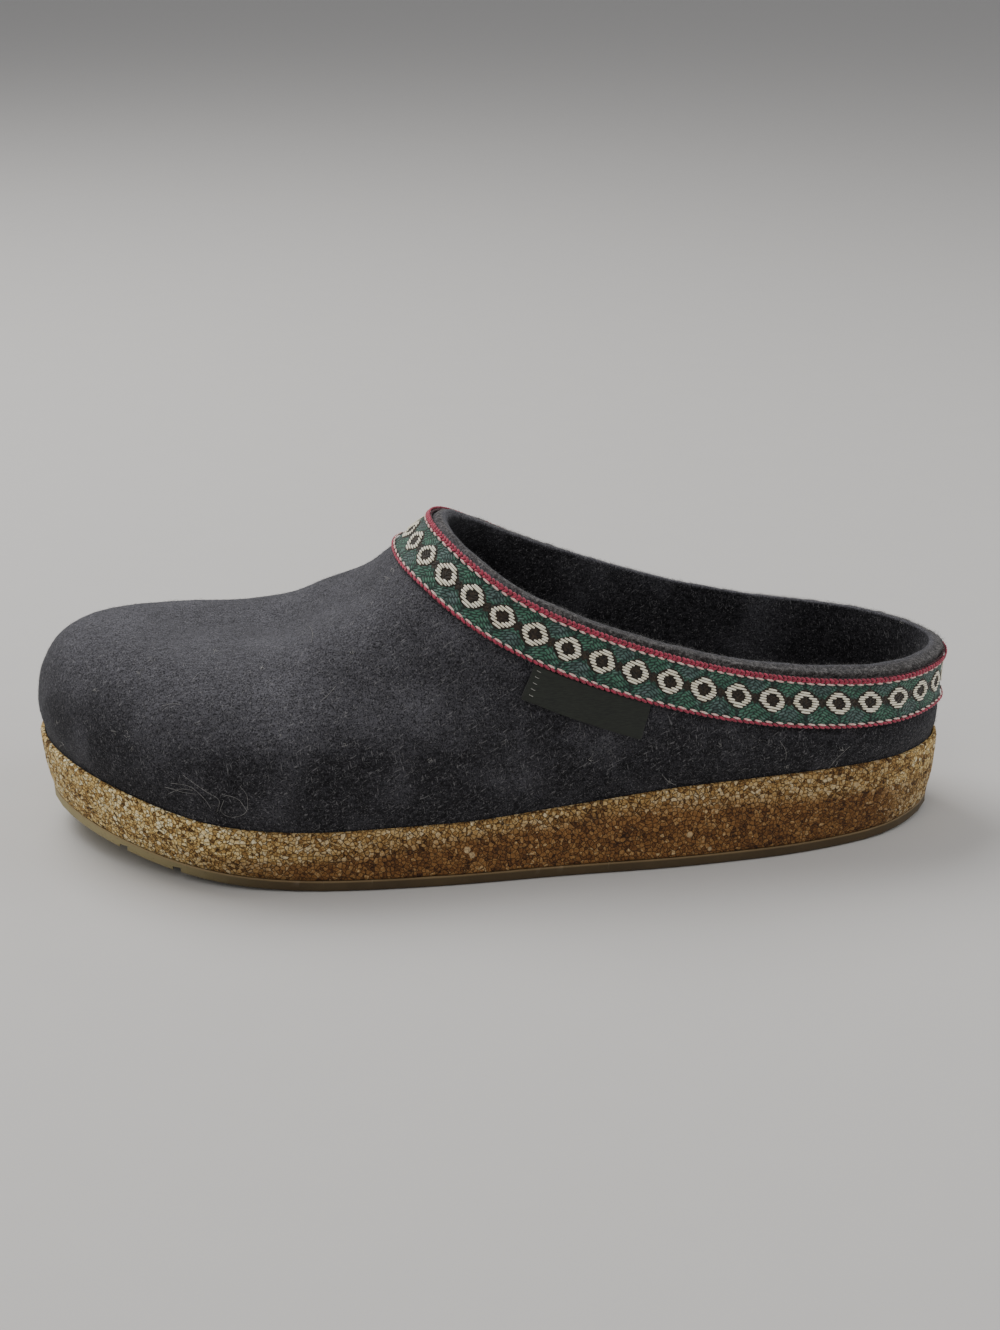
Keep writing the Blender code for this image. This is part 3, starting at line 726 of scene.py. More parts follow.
# %% Cream floats of the rings
FLOAT_ROWS = 9
FLOAT_LEAN = math.radians(5)
LEAN_SHARE = 0.4
FLOAT_HALF = 0.43
HEART_ALONG = 1.95 * MM
HEART_ACROSS = 1.50 * MM
FLOAT_PROUD = 0.34 * MM
BLUNT = 0.45
FLOAT_ARCH = 0.10 * MM
FLOAT_SINK = 0.25 * MM
RAGGED_START = 0.35 * MM
RAGGED_END = 0.25 * MM
ROW_SHIFT = 0.04 * MM


def ring_rows():
    """Half lengths of the floats in each row: place across, outer end and inner end."""
    rows = []
    pitch = 2 * RING_ACROSS / FLOAT_ROWS
    for k in range(FLOAT_ROWS):
        y = (k - (FLOAT_ROWS - 1) / 2) * pitch
        outer = RING_ALONG * (1 - abs(y / (RING_ACROSS * 1.06)) ** RING_SQUARE) ** (1 / RING_SQUARE)
        inside = 1 - (y / HEART_ACROSS) ** 2
        rows.append((y, outer, HEART_ALONG * math.sqrt(inside) if inside > 0 else None))
    return rows, pitch


def cream_floats():
    rows, pitch = ring_rows()
    ends = []
    for ring in range(RINGS + 1):
        middle_of_ring = (ring + 0.5) * RING_PITCH
        if middle_of_ring > LAST_FLOAT_AT:
            continue
        for y, outer, heart in rows:
            spans = [(-outer, outer)] if heart is None else [(-outer, -heart), (heart, outer)]
            for first, last in spans:
                first += chance.uniform(-1, 1) * RAGGED_START
                last += chance.uniform(-1, 1) * RAGGED_END
                ends.append((middle_of_ring, y + chance.uniform(-1, 1) * ROW_SHIFT, first, last))
    ends = np.array(ends)
    shape = FLOAT_BALL.copy()
    shape[:, 0] = np.sign(shape[:, 0]) * abs(shape[:, 0]) ** BLUNT
    half_long = (ends[:, 3] - ends[:, 2])[:, None] / 2
    middle_x = (ends[:, 3] + ends[:, 2])[:, None] / 2
    x = middle_x + half_long * shape[None, :, 0]
    y = ends[:, 1][:, None] + FLOAT_HALF * pitch * shape[None, :, 1]
    along = ends[:, 0][:, None] + x * math.cos(FLOAT_LEAN) - y * math.sin(FLOAT_LEAN) * LEAN_SHARE
    across = 0.5 + (y + x * math.sin(FLOAT_LEAN)) / RIBBON_WIDTH
    arch = FLOAT_ARCH * (1 - shape[None, :, 0] ** 2)
    lift = arch + FLOAT_PROUD * (0.35 + 0.65 * shape[None, :, 2]) + lap_lift(along) - FLOAT_SINK
    places = on_ribbon(along.ravel(), across.ravel(), lift.ravel())
    return repeated("ring_threads", places.reshape(len(ends), -1, 3), FLOAT_FACES)


def thread_finish(name, light, deep, roughness, size=900.0):
    """Twisted thread of one colour, a little uneven."""
    f = Finish(name, roughness=roughness, Sheen_Weight=0.2)
    where = f.place()
    uneven = f.noise(where, size, 3.0, 0.6)
    fibre = f.noise(f.place((1.0, 1.0, 0.33)), 5200.0, 2.0)
    colour = f.mix(uneven.rise(0.3, 0.7), deep, light)
    return f.coat(Base_Color=colour, Normal=f.bump(fibre, 0.05 * MM, 0.6))


cream = thread_finish("cream_thread", (0.97, 0.94, 0.80), (0.80, 0.74, 0.56), 0.60)
rings = show("ring_threads", cream_floats(), cream)
print("ring threads:", len(rings.data.polygons), "faces")

# %% [markdown]
# Crimson braid finishes both edges of the ribbon, two leaning rows above and one below, and inside it
# runs a row of pale floats like a running stitch. All of them are the same small ball as in the
# rings. A short table gives each row its place across, its pitch, the size of a float and its lean.

# %% Braid and running stitch of the edges
# Columns: place across, pitch, half length and half width in millimetres, lean in degrees
UPPER_BRAID = ((0.022, 1.45, 0.92, 0.42, 26.0), (0.068, 1.45, 0.92, 0.42, -26.0))
LOWER_BRAID = ((0.972, 1.70, 1.00, 0.40, 18.0),)
PALE_STITCH = ((0.112, 3.10, 1.28, 0.33, 6.0), (0.928, 3.10, 1.22, 0.31, 6.0))
EDGE_ARCH = 0.14 * MM
EDGE_SHIFT = 0.12 * MM
FLATTER = 0.8


def edge_floats(name, rows):
    """Rows of floats along the ribbon, as one mesh."""
    spots = []
    for across, pitch, half_long, half_wide, lean in rows:
        for start in np.arange(pitch, LAST_FLOAT_AT / MM, pitch):
            spots.append((start * MM, across, half_long * MM, half_wide * MM, math.radians(lean)))
    spots = np.array(spots)
    start, across, half_long, half_wide, lean = (spots[:, k][:, None] for k in range(5))
    start = start + chance.uniform(-1, 1, start.shape) * EDGE_SHIFT
    half_long = half_long * chance.uniform(0.85, 1.1, start.shape)
    x = half_long * FLOAT_BALL[None, :, 0]
    y = half_wide * FLOAT_BALL[None, :, 1]
    along = start + x * np.cos(lean) - y * np.sin(lean)
    down = across + (y * np.cos(lean) + x * np.sin(lean)) / RIBBON_WIDTH
    arch = EDGE_ARCH * (1 - FLOAT_BALL[None, :, 0] ** 2)
    lift = arch + half_wide * FLATTER * FLOAT_BALL[None, :, 2] + lap_lift(along)
    places = on_ribbon(along.ravel(), down.ravel(), lift.ravel())
    return repeated(name, places.reshape(len(spots), -1, 3), FLOAT_FACES)


crimson = thread_finish("crimson_thread", (0.50, 0.035, 0.090), (0.17, 0.008, 0.022), 0.55, 1500.0)
blush = thread_finish("blush_thread", (0.86, 0.68, 0.60), (0.66, 0.36, 0.34), 0.60, 1500.0)
for name, rows, thread in (("upper_edge_braid", UPPER_BRAID, crimson),
                           ("lower_edge_braid", LOWER_BRAID, crimson),
                           ("pale_stitch", PALE_STITCH, blush)):
    edging = show(name, edge_floats(name, rows), thread)
    print(name, len(edging.data.polygons), "faces")


# %% [markdown]
# Boiled wool felt is thick, soft and dull. It has no weave: short fibres lie every way, so its
# surface is mottled at under a millimetre, a little lighter where fibres stand up and where dust
# settles on top, and painted lighter still on top as painted light from above. The upper is a
# smoothed copy of its solid. Its small forms are then pressed in: where the ribbon's seam pulls the
# felt in, where the foot bends it, and where it bulges.

# %% Felt upper: a fine, smooth copy
UPPER_LEVELS = 2
SHOE_LENGTH = CAD_BOX[1][0] - CAD_BOX[0][0]
HEEL_X = CAD_BOX[0][0]

bm = copy_of("upper")
crease_sharp(bm, math.radians(70), 0.6)
upper_mesh = smoothed(bm, "felt_upper", UPPER_LEVELS)
upper_points, upper_normals = corners_of(upper_mesh)
print("felt upper:", len(upper_mesh.polygons), "faces")

# %% [markdown]
# A crease is a short row: where it starts and ends on the shoe, how wide and how deep it is. Below
# zero it stands out as a ridge. Places are given as a share of the length from the heel, a side and
# a share of the height there, because that is how one points at a shoe.

# %% Creases, listed
UPPER_TOP = CAD_BOX[1][2]
# Columns: points of the line as (share of length, place across from inner -1 to outer 1), half
# width and depth in millimetres
TOP_CREASES = (
    (((0.600, -0.80), (0.640, -0.40), (0.655, 0.00), (0.640, 0.42), (0.600, 0.80)), 6.5, 0.75),
    (((0.640, -0.85), (0.688, -0.40), (0.705, 0.00), (0.690, 0.40), (0.650, 0.85)), 5.0, -0.40),
    (((0.700, -0.80), (0.742, -0.35), (0.752, 0.05), (0.738, 0.45), (0.710, 0.80)), 5.5, 0.45),
    (((0.745, -0.55), (0.790, -0.15), (0.800, 0.25), (0.785, 0.60)), 6.0, -0.30),
    (((0.820, -0.40), (0.870, -0.10), (0.880, 0.30)), 8.0, 0.35),
)
# Columns: side, points as (share of length, share of the height), half width and depth
SIDE_CREASES = (
    (1, ((0.330, 0.36), (0.400, 0.42), (0.470, 0.50)), 4.5, 0.55),
    (1, ((0.560, 0.38), (0.585, 0.55), (0.600, 0.70)), 5.0, 0.50),
    (1, ((0.120, 0.34), (0.180, 0.38), (0.240, 0.37)), 4.0, -0.35),
    (-1, ((0.330, 0.38), (0.410, 0.44), (0.480, 0.52)), 4.5, 0.60),
    (-1, ((0.560, 0.40), (0.590, 0.56), (0.605, 0.70)), 5.0, 0.55),
    (-1, ((0.140, 0.36), (0.200, 0.40)), 4.5, -0.35),
)
upper_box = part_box("upper")
MID_Y = (upper_box[0].y + upper_box[1].y) / 2
HALF_Y = (upper_box[1].y - upper_box[0].y) / 2


def felt_from_above(share, across):
    """The felt's outer face under a point seen from above."""
    start = Vector((HEEL_X + share * SHOE_LENGTH, MID_Y + across * HALF_Y, 1.0))
    hit = felt_tree.ray_cast(start, Vector((0, 0, -1)))[0]
    return np.array(hit if hit else felt_tree.find_nearest(Vector((start.x, start.y, UPPER_TOP / 2)))[0])


def felt_from_side(side, share, height):
    """The felt's outer face at a point seen from one side."""
    start = Vector((HEEL_X + share * SHOE_LENGTH, side * 1.0, height * UPPER_TOP))
    hit = felt_tree.ray_cast(start, Vector((0, -side, 0)))[0]
    return np.array(hit if hit else felt_tree.find_nearest(start)[0])


def dense_line(points, spacing=1.5 * MM):
    """A smooth line through a few points."""
    points = np.array(points)
    padded = np.vstack([2 * points[0] - points[1], points, 2 * points[-1] - points[-2]])
    out = []
    for k in range(len(points) - 1):
        a, b, c, d = padded[k:k + 4]
        t = np.linspace(0, 1, max(int(np.linalg.norm(c - b) / spacing), 2), endpoint=False)[:, None]
        out.append(cubic(a, b, c, d, t))
    return np.vstack(out + [points[-1:]])


def press(depth_so_far, points, line, half_width, depth):
    """Add one crease to the depths at each point, fading out at both ends."""
    gap = np.linalg.norm(points[:, None] - line[None], axis=2)
    nearest = gap.argmin(axis=1)
    share = nearest / (len(line) - 1)
    fade = soft_step(share, 0.0, 0.25) * soft_step(1 - share, 0.0, 0.25)
    reach = np.exp(-(gap.min(axis=1) / half_width) ** 2)
    return depth_so_far + depth * fade * reach


ribbon_tree = tree_of("collar_ribbon")
tag_tree = tree_of("tag")
midsole_tree = tree_of("midsole")
from_ribbon = distance_to(ribbon_tree, upper_points)
from_tag = distance_to(tag_tree, upper_points)
from_cork = distance_to(midsole_tree, upper_points)

depths = np.zeros(len(upper_points))
for points, half_width, depth in TOP_CREASES:
    line = dense_line([felt_from_above(*p) for p in points])
    depths = press(depths, upper_points, line, half_width * MM, depth * MM)
for side, points, half_width, depth in SIDE_CREASES:
    line = dense_line([felt_from_side(side, *p) for p in points])
    depths = press(depths, upper_points, line, half_width * MM, depth * MM)
print("creases: %.2f mm in, %.2f mm out at most" % (depths.max() / MM, -depths.min() / MM))

# %% Lumps of the felt, the pull of the seam and the cut edge
SEAM_PULL = 0.35 * MM
SEAM_AT = 1.2 * MM
SEAM_REACH = 2.2 * MM
# Columns: size of the lumps in millimetres, height in millimetres, seed of the noise
LUMPS = ((9.0, 0.22, 0.0), (3.2, 0.10, 7.0))
RAGGED = ((1.6, 0.30, 3.0), (4.5, 0.30, 5.0))
# Lumps and creases begin at the first distance from the trim or the cork and are whole at the second
TRIM_FADE = (0.9 * MM, 4.0 * MM)
CORK_FADE = (0.8 * MM, 3.5 * MM)
CUT_BAND = 5.2 * MM
RIM_DROP = 0.6 * MM


def lumpy(points, table):
    """Heights of a table's lumps at each point, added up."""
    return sum(clouds(points, size * MM, seed) * height * MM for size, height, seed in table)


free_of_trim = soft_step(np.minimum(from_ribbon, from_tag), *TRIM_FADE)
free_of_cork = soft_step(from_cork, *CORK_FADE)
outward = depths * free_of_cork
outward = np.where(outward < 0, outward * free_of_trim, outward)
lumps = lumpy(upper_points, LUMPS) * free_of_cork * free_of_trim
seam = SEAM_PULL * np.exp(-((from_ribbon - SEAM_AT) / SEAM_REACH) ** 2) * free_of_cork
shaped = upper_points - upper_normals * (outward + seam - lumps)[:, None]

top_edge = on_ribbon_face(np.linspace(0, RIBBON_LENGTH, 800), np.zeros(800))
to_top_edge = np.linalg.norm(upper_points[:, None] - top_edge[None, ::2], axis=2)
from_top_edge = to_top_edge.min(axis=1)
above_ribbon = (upper_points - top_edge[::2][to_top_edge.argmin(axis=1)])[:, 2]
cut = soft_step(above_ribbon, -0.6 * MM, 0.6 * MM) * soft_step(CUT_BAND - from_top_edge, 0.0, 1.5 * MM)
shaped += upper_normals * (cut * lumpy(upper_points, RAGGED))[:, None]
shaped[:, 2] -= cut * RIM_DROP
move_corners(upper_mesh, shaped)
mark(upper_mesh, "cut_edge", cut)
print("cut edge covers %.0f of %d corners" % (cut.sum(), len(cut)))

# %% [markdown]
# The finish of the felt is worked out in sums: mottling of two sizes, dust with painted light from
# above on what faces up, dark specks, short pale strokes of single fibres, flecks of lint, and a
# paler, dustier cut edge. A little sheen gives the soft rim of light that wool has.

# %% Felt finish
STROKE_TURNS = ((0.3, 0.5, 0.2), (1.1, 0.4, 1.25), (0.7, 1.3, 2.3))
STROKE_COLOUR = (0.26, 0.255, 0.26)


def fibre_strokes(f):
    """Short strokes that lie three ways, as single pale fibres do on the felt."""
    found = None
    for turn in STROKE_TURNS:
        lying = f.place((7.0, 1.0, 1.0), turn)
        strokes = f.noise(lying, 2600.0, 1.0).rise(0.66, 0.74)
        found = strokes if found is None else found.math("MAXIMUM", strokes)
    return found


def felt_finish():
    f = Finish("charcoal_felt", roughness=0.95, Sheen_Weight=0.10, Sheen_Roughness=0.45,
               Sheen_Tint=(0.90, 0.92, 1.0, 1.0), Specular_IOR_Level=0.15)
    deep = (0.0058, 0.0056, 0.0068)
    light = (0.047, 0.046, 0.052)
    # Pale grey of dust, also used as painted light on the faces that look up
    dust_and_top_light = (0.175, 0.173, 0.196)
    where = f.place()
    fine = f.noise(where, 1500.0, 3.0, 0.7)
    speck = f.noise(where, 2400.0, 2.0, 0.6)
    strands = f.noise(f.place((2.2, 1.0, 1.0)), 950.0, 4.0, 0.7)
    patches = f.noise(where, 55.0, 3.0)
    colour = f.mix((fine * 0.55 + strands * 0.45).rise(0.38, 0.64), deep, light)
    colour = f.mix(patches.rise(0.45, 0.8) * 0.35, colour, dust_and_top_light)
    # What faces up is lightened: partly real dust, partly painted light from above
    normal = f.node("SeparateXYZ", None, f.node("NewGeometry").outputs["Normal"])
    facing_up = Value(f, normal.outputs["Z"]).rise(0.05, 0.95)
    colour = f.mix(facing_up * (0.10 + strands * 0.75), colour, dust_and_top_light)
    colour = f.mix(speck.rise(0.56, 0.38) * 0.80, colour, deep)
    colour = f.mix(fibre_strokes(f) * 0.45, colour, STROKE_COLOUR)
    flecks = f.cells(where, 420.0, "F1", "Distance").rise(0.085, 0.03)
    some = f.noise(where, 130.0, 2.0).rise(0.56, 0.66)
    colour = f.mix(flecks * some * 0.55, colour, STROKE_COLOUR)
    cut = f.attribute("cut_edge")
    fuzz = f.ramp(f.noise(where, 1100.0, 4.0, 0.7), (0.32, (0.012, 0.011, 0.011)),
                  (0.50, (0.060, 0.056, 0.054)), (0.64, (0.22, 0.21, 0.205)))
    colour = f.mix(cut * (0.55 + patches * 0.5), colour, fuzz)
    bump = f.bump(strands, 0.35 * MM, 0.9)
    bump = f.bump(fine, 0.18 * MM, 0.8, bump)
    return f.coat(Base_Color=colour, Normal=bump)


felt = felt_finish()
upper = show("felt_upper", upper_mesh, felt)
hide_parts("upper")
print("felt upper is dressed")

# %% [markdown]
# Fibres stand up from felt all over, and at the cut edge they make a fringe of fuzz. A fibre is a
# thin cone with a bend. Thousands of them are one mesh: each copy is laid along a random direction
# on the felt, lifted a little and bent back.

# %% Fibres of wool


def fibre_shape(parts):
    """A thin three-sided cone along X from 0 to 1, cut into parts."""
    bm = bmesh.new()
    bmesh.ops.create_cone(bm, cap_ends=True, segments=3, radius1=1.0, radius2=0.25, depth=1.0)
    bmesh.ops.translate(bm, verts=bm.verts, vec=(0, 0, 0.5))
    bmesh.ops.rotate(bm, cent=(0, 0, 0), matrix=Matrix.Rotation(math.pi / 2, 3, "Y"), verts=bm.verts)
    for k in range(1, parts):
        bmesh.ops.bisect_plane(bm, geom=bm.verts[:] + bm.edges[:] + bm.faces[:], dist=1e-6,
                               plane_co=(k / parts, 0, 0), plane_no=(1, 0, 0))
    return template(bm)


def spots_on(mesh, count, weight):
    """Random places on a mesh with their normals; weight says how likely each face is."""
    areas = read_all(mesh.polygons, "area", 1)[:, 0]
    middles = read_all(mesh.polygons, "center")
    normals = read_all(mesh.polygons, "normal")
    likely = areas * weight(middles, normals)
    chosen = chance.choice(len(areas), size=count, p=likely / likely.sum())
    spread = np.sqrt(areas[chosen])[:, None] * chance.uniform(-0.5, 0.5, (count, 3))
    spread -= (spread * normals[chosen]).sum(1)[:, None] * normals[chosen]
    return middles[chosen] + spread, normals[chosen]


def fibres(name, roots, normals, lengths, radius, shape, lean=(0.10, 0.55), sideways=0.5):
    """One mesh of bent fibres that start a little inside the surface."""
    corners, faces = shape
    count = len(roots)
    random_way = chance.normal(size=(count, 3))
    along = random_way - (random_way * normals).sum(1)[:, None] * normals
    along /= np.linalg.norm(along, axis=1)[:, None]
    beside = np.cross(normals, along)
    rise = chance.uniform(*lean, count)[:, None]
    sink = chance.uniform(0.5, 1.0, count)[:, None]
    curl = chance.uniform(-sideways, sideways, count)[:, None]
    x = corners[None, :, 0]
    length = lengths[:, None]
    out = length * (rise * x - 0.55 * rise * sink * x ** 2)
    side = length * curl * x ** 2
    thin = radius * (1 - 0.6 * x)
    places = roots[:, None] + along[:, None] * (length * x)[..., None]
    places += normals[:, None] * (out + corners[None, :, 2] * thin)[..., None]
    places += beside[:, None] * (side + corners[None, :, 1] * thin)[..., None]
    return repeated(name, places, faces)


FIBRE = fibre_shape(2)
ROOT_SINK = 0.05 * MM


def wool(name, count, weight, lengths, radius, finish_name, size, stops, **bend):
    """A piece of many fibres on the felt, with a finish that varies along the shoe."""
    roots, normals = spots_on(upper_mesh, count, weight)
    mesh = fibres(name, roots - normals * ROOT_SINK, normals, chance.uniform(*lengths, count) * MM,
                  radius, FIBRE, **bend)
    f = Finish(finish_name, roughness=0.9, Sheen_Weight=0.3)
    tone = f.noise(f.place(), size, 2.0)
    piece = show(name, mesh, f.coat(Base_Color=f.ramp(tone, *stops)))
    print(name, len(mesh.polygons), "faces")


# %% Nap of the outer faces
CLEAR_OF_RIBBON = 1.6 * MM
CLEAR_OF_TAG = 1.3 * MM
CLEAR_OF_CORK = 0.7 * MM
AXIS_HEIGHT = 20 * MM
AXIS_ENDS_INSIDE = 40 * MM
NAP_COUNT = 13500


def outer_weight(middles, normals):
    """Outer faces only: those that look away from the shoe's inside, and not under the trim."""
    along = np.clip(middles[:, 0], HEEL_X + AXIS_ENDS_INSIDE, CAD_BOX[1][0] - AXIS_ENDS_INSIDE)
    axis = np.column_stack([along, np.full(len(middles), MID_Y), np.full(len(middles), AXIS_HEIGHT)])
    away = ((middles - axis) * normals).sum(1) > 0
    clear = distance_to(ribbon_tree, middles) > CLEAR_OF_RIBBON
    clear &= distance_to(tag_tree, middles) > CLEAR_OF_TAG
    clear &= distance_to(midsole_tree, middles) > CLEAR_OF_CORK
    return away & clear


wool("wool_nap", NAP_COUNT, outer_weight, (0.7, 2.4), 0.034 * MM, "wool_fibre", 800.0,
     ((0.38, (0.014, 0.014, 0.016)), (0.56, (0.075, 0.074, 0.080)), (0.72, (0.30, 0.295, 0.30))))

# %% Fuzz of the cut edge
FUZZ_FROM = 0.3 * MM
FUZZ_COUNT = 9000


def cut_weight(middles, normals):
    """Faces of the cut edge, above the ribbon's top line."""
    gaps = np.linalg.norm(middles[:, None] - top_edge[None, ::4], axis=2)
    above = (middles - top_edge[::4][gaps.argmin(axis=1)])[:, 2]
    return (gaps.min(axis=1) < CUT_BAND) & (above > FUZZ_FROM)


wool("edge_fuzz", FUZZ_COUNT, cut_weight, (0.5, 1.7), 0.024 * MM, "edge_fibre", 700.0,
     ((0.32, (0.035, 0.034, 0.035)), (0.58, (0.15, 0.145, 0.14)), (0.78, (0.42, 0.41, 0.40))),
     lean=(0.2, 1.1), sideways=0.9)

# %% [markdown]
# The midsole is pressed from cork granules bound in latex. At the toe it is sanded and pale gold, and
# painted paler still as painted light on the toe; at the back of the heel and just under the felt it
# is a little paler than along the side, where it is darker and browner. A finely divided copy of the
# solid lets the granules be real relief, and the finish colours each of them.

# %% Cork midsole
CORK_LEVELS = 3
GRANULE = 1.02 * MM
PIT = 0.16 * MM
STRAY_AT_MOST = 0.12 * MM
GRAIN_BEND = 0.4 * MM
RIM_BAND = 3.2 * MM
RIM_FADE = 1.6 * MM
ROUGH_SIZE = 5.0 * MM
ROUGH_HEIGHT = 0.12 * MM
SMOOTH_BELOW = (0.4 * MM, 2.0 * MM)


def cork_mesh():
    bm = copy_of("midsole")
    crease_sharp(bm, math.radians(40), 0.9)
    mesh = smoothed(bm, "cork_midsole", CORK_LEVELS)
    points, normals = corners_of(mesh)
    points = kept_near(midsole_tree, points, STRAY_AT_MOST)
    side = soft_step(1 - abs(normals[:, 2]), 0.15, 0.6)
    above_sole = soft_step(distance_to(tree_of("outsole"), points), *SMOOTH_BELOW)
    grains = np.array([noise.voronoi(Vector(p) / GRANULE)[0][0] for p in points])
    rough = clouds(points, ROUGH_SIZE, 11.0) * ROUGH_HEIGHT
    moved = points - normals * ((grains * PIT - rough) * side * above_sole)[:, None]
    move_corners(mesh, moved)
    mark(mesh, "near_felt", soft_step(RIM_BAND - distance_to(felt_tree, points), 0.0, RIM_FADE))
    return mesh


def cork_finish():
    f = Finish("pressed_cork", roughness=0.8, Specular_IOR_Level=0.3)
    where = f.place()
    place = f.node("SeparateXYZ", None, where)
    x = Value(f, place.outputs["X"])
    rim = f.attribute("near_felt")
    wander = f.node("TexNoise", None, Vector=where, Scale=700.0, Detail=2.0)
    bent = f.node("Mix", {"data_type": "VECTOR"}, GRAIN_BEND)
    f.feed(bent.inputs[4], where)
    f.feed(bent.inputs[5], wander.outputs["Color"])
    bent = bent.outputs[1]
    big = f.cells(bent, 0.85 / GRANULE, "F1", "Color")
    gaps = f.cells(bent, 0.85 / GRANULE, "DISTANCE_TO_EDGE", "Distance")
    small = f.cells(bent, 2.1 / GRANULE, "F1", "Color")
    small_gaps = f.cells(bent, 2.1 / GRANULE, "DISTANCE_TO_EDGE", "Distance")
    cloud = f.noise(where, 90.0, 4.0)
    grain = f.noise(where, 2600.0, 3.0, 0.7)
    # Paler gold at the toe: sanded cork, made paler still as painted light on the toe
    sanded_and_lit_toe = x.rise(0.052, 0.120)
    back = x.rise(-0.105, -0.128)
    tone = big * 0.62 + small * 0.38 + (cloud - 0.5) * 0.35 + (grain - 0.5) * 0.25
    brown = f.ramp(tone, (0.14, (0.030, 0.012, 0.004)), (0.36, (0.150, 0.062, 0.017)),
                   (0.60, (0.250, 0.118, 0.034)), (0.76, (0.330, 0.180, 0.062)), (0.90, (0.52, 0.37, 0.19)))
    gold = f.ramp(tone, (0.16, (0.075, 0.036, 0.010)), (0.32, (0.330, 0.185, 0.055)),
                  (0.48, (0.720, 0.490, 0.170)), (0.62, (0.900, 0.700, 0.330)), (0.78, (0.98, 0.90, 0.62)))
    colour = f.mix((sanded_and_lit_toe + back * 0.55 + rim * 0.42).clamp(), brown, gold)
    dark = gaps.rise(0.10, 0.0) * 0.9 + small_gaps.rise(0.07, 0.0) * 0.35
    colour = f.mix(dark.clamp(), colour, (0.024, 0.010, 0.004))
    pale = f.cells(where, 300.0, "F1", "Color") > 0.86
    chip = f.cells(where, 300.0, "F1", "Distance").rise(0.34, 0.22)
    colour = f.mix(pale * chip * 0.62, colour, (0.62, 0.47, 0.27))
    bump = f.bump(small * 0.5 + gaps.rise(0.0, 0.14), 0.20 * MM, 0.9)
    bump = f.bump(grain, 0.06 * MM, 0.6, bump)
    return f.coat(Base_Color=colour, Roughness=0.70 + cloud * 0.2, Normal=bump)


midsole = show("cork_midsole", cork_mesh(), cork_finish())
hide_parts("midsole")
print("cork midsole:", len(midsole.data.polygons), "faces")

# %% [markdown]
# The outsole is gum rubber. Its main grooves are in the solid. The fine tread between them is cut
# here: planes divide the sole across, and the middle line of each narrow strip is lifted, so that it
# becomes a small V groove that ends inside the edge.

# %% Gum rubber outsole with fine tread
FINE_PITCH = 3.2 * MM
FINE_WIDTH = 0.9 * MM
FINE_DEPTH = 0.45 * MM
FINE_INSIDE = 1.6 * MM
FINE_FROM_ENDS = 4.0 * MM
FINE_CUTS = 4.0 * MM
RUBBER_THICK = 3.4 * MM


def outsole_mesh():
    bm = bmesh.new()
    bm.from_mesh(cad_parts["outsole"].data)
    bmesh.ops.remove_doubles(bm, verts=bm.verts, dist=1e-6)
    low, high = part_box("outsole")
    centres = np.arange(low.x + FINE_FROM_ENDS, high.x - FINE_FROM_ENDS, FINE_PITCH)
    for x in centres:
        for step in (-0.5, 0.0, 0.5):
            bmesh.ops.bisect_plane(bm, geom=bm.verts[:] + bm.edges[:] + bm.faces[:], dist=1e-7,
                                   plane_co=(x + step * FINE_WIDTH, 0, 0), plane_no=(1, 0, 0))
    for y in np.arange(low.y + FINE_CUTS, high.y, FINE_CUTS):
        bmesh.ops.bisect_plane(bm, geom=bm.verts[:] + bm.edges[:] + bm.faces[:], dist=1e-7,
                               plane_co=(0, y, 0), plane_no=(0, 1, 0))
    outline = np.array([v.co[:2] for v in bm.verts if abs(v.normal.z) < 0.8])
    ground = BVHTree.FromBMesh(bm)
    for vert in bm.verts:
        k = np.abs(centres - vert.co.x).argmin()
        if abs(centres[k] - vert.co.x) > 1e-6:
            continue
        if np.linalg.norm(outline - np.array(vert.co[:2]), axis=1).min() < FINE_INSIDE:
            continue
        below = ground.ray_cast(vert.co + Vector((0, 0, -1e-5)), Vector((0, 0, -1)))[0]
        if below is None and vert.normal.z < 0.2:
            vert.co.z += FINE_DEPTH
    mesh = bpy.data.meshes.new("rubber_outsole")
    bm.to_mesh(mesh)
    bm.free()
    near_cork = 1 - np.clip(distance_to(midsole_tree, corners_of(mesh)[0]) / RUBBER_THICK, 0.0, 1.0)
    mark(mesh, "joint", near_cork)
    return mesh


def rubber_finish():
    f = Finish("gum_rubber", roughness=0.55, Specular_IOR_Level=0.4)
    where = f.place()
    place = f.node("SeparateXYZ", None, where)
    x = Value(f, place.outputs["X"])
    cloud = f.noise(where, 70.0, 4.0)
    specks = f.noise(where, 1400.0, 3.0, 0.7)
    # The toe is painted far lighter than the side: painted light on the toe, painted shade along the side
    side = f.mix(cloud, (0.042, 0.025, 0.010), (0.090, 0.062, 0.026))
    toe = f.mix(cloud, (0.26, 0.21, 0.095), (0.40, 0.34, 0.175))
    colour = f.mix(x.rise(0.062, 0.122), side, toe)
    line = f.attribute("joint").rise(0.70, 0.86) * (0.35 + cloud * 0.5)
    colour = f.mix(line, colour, (0.300, 0.205, 0.100))
    colour = f.mix(specks.rise(0.60, 0.72) * 0.5, colour, (0.030, 0.022, 0.012))
    bump = f.bump(specks, 0.06 * MM, 0.5)
    return f.coat(Base_Color=colour, Roughness=0.45 + cloud * 0.25, Normal=bump)


outsole = show("rubber_outsole", outsole_mesh(), rubber_finish())
outsole.data.set_sharp_from_angle(angle=math.radians(35))
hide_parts("outsole")
print("outsole:", len(outsole.data.polygons), "faces")

# %% [markdown]
# Inside lies a footbed covered with the same wool, rubbed flat where heel and ball of the foot rest.

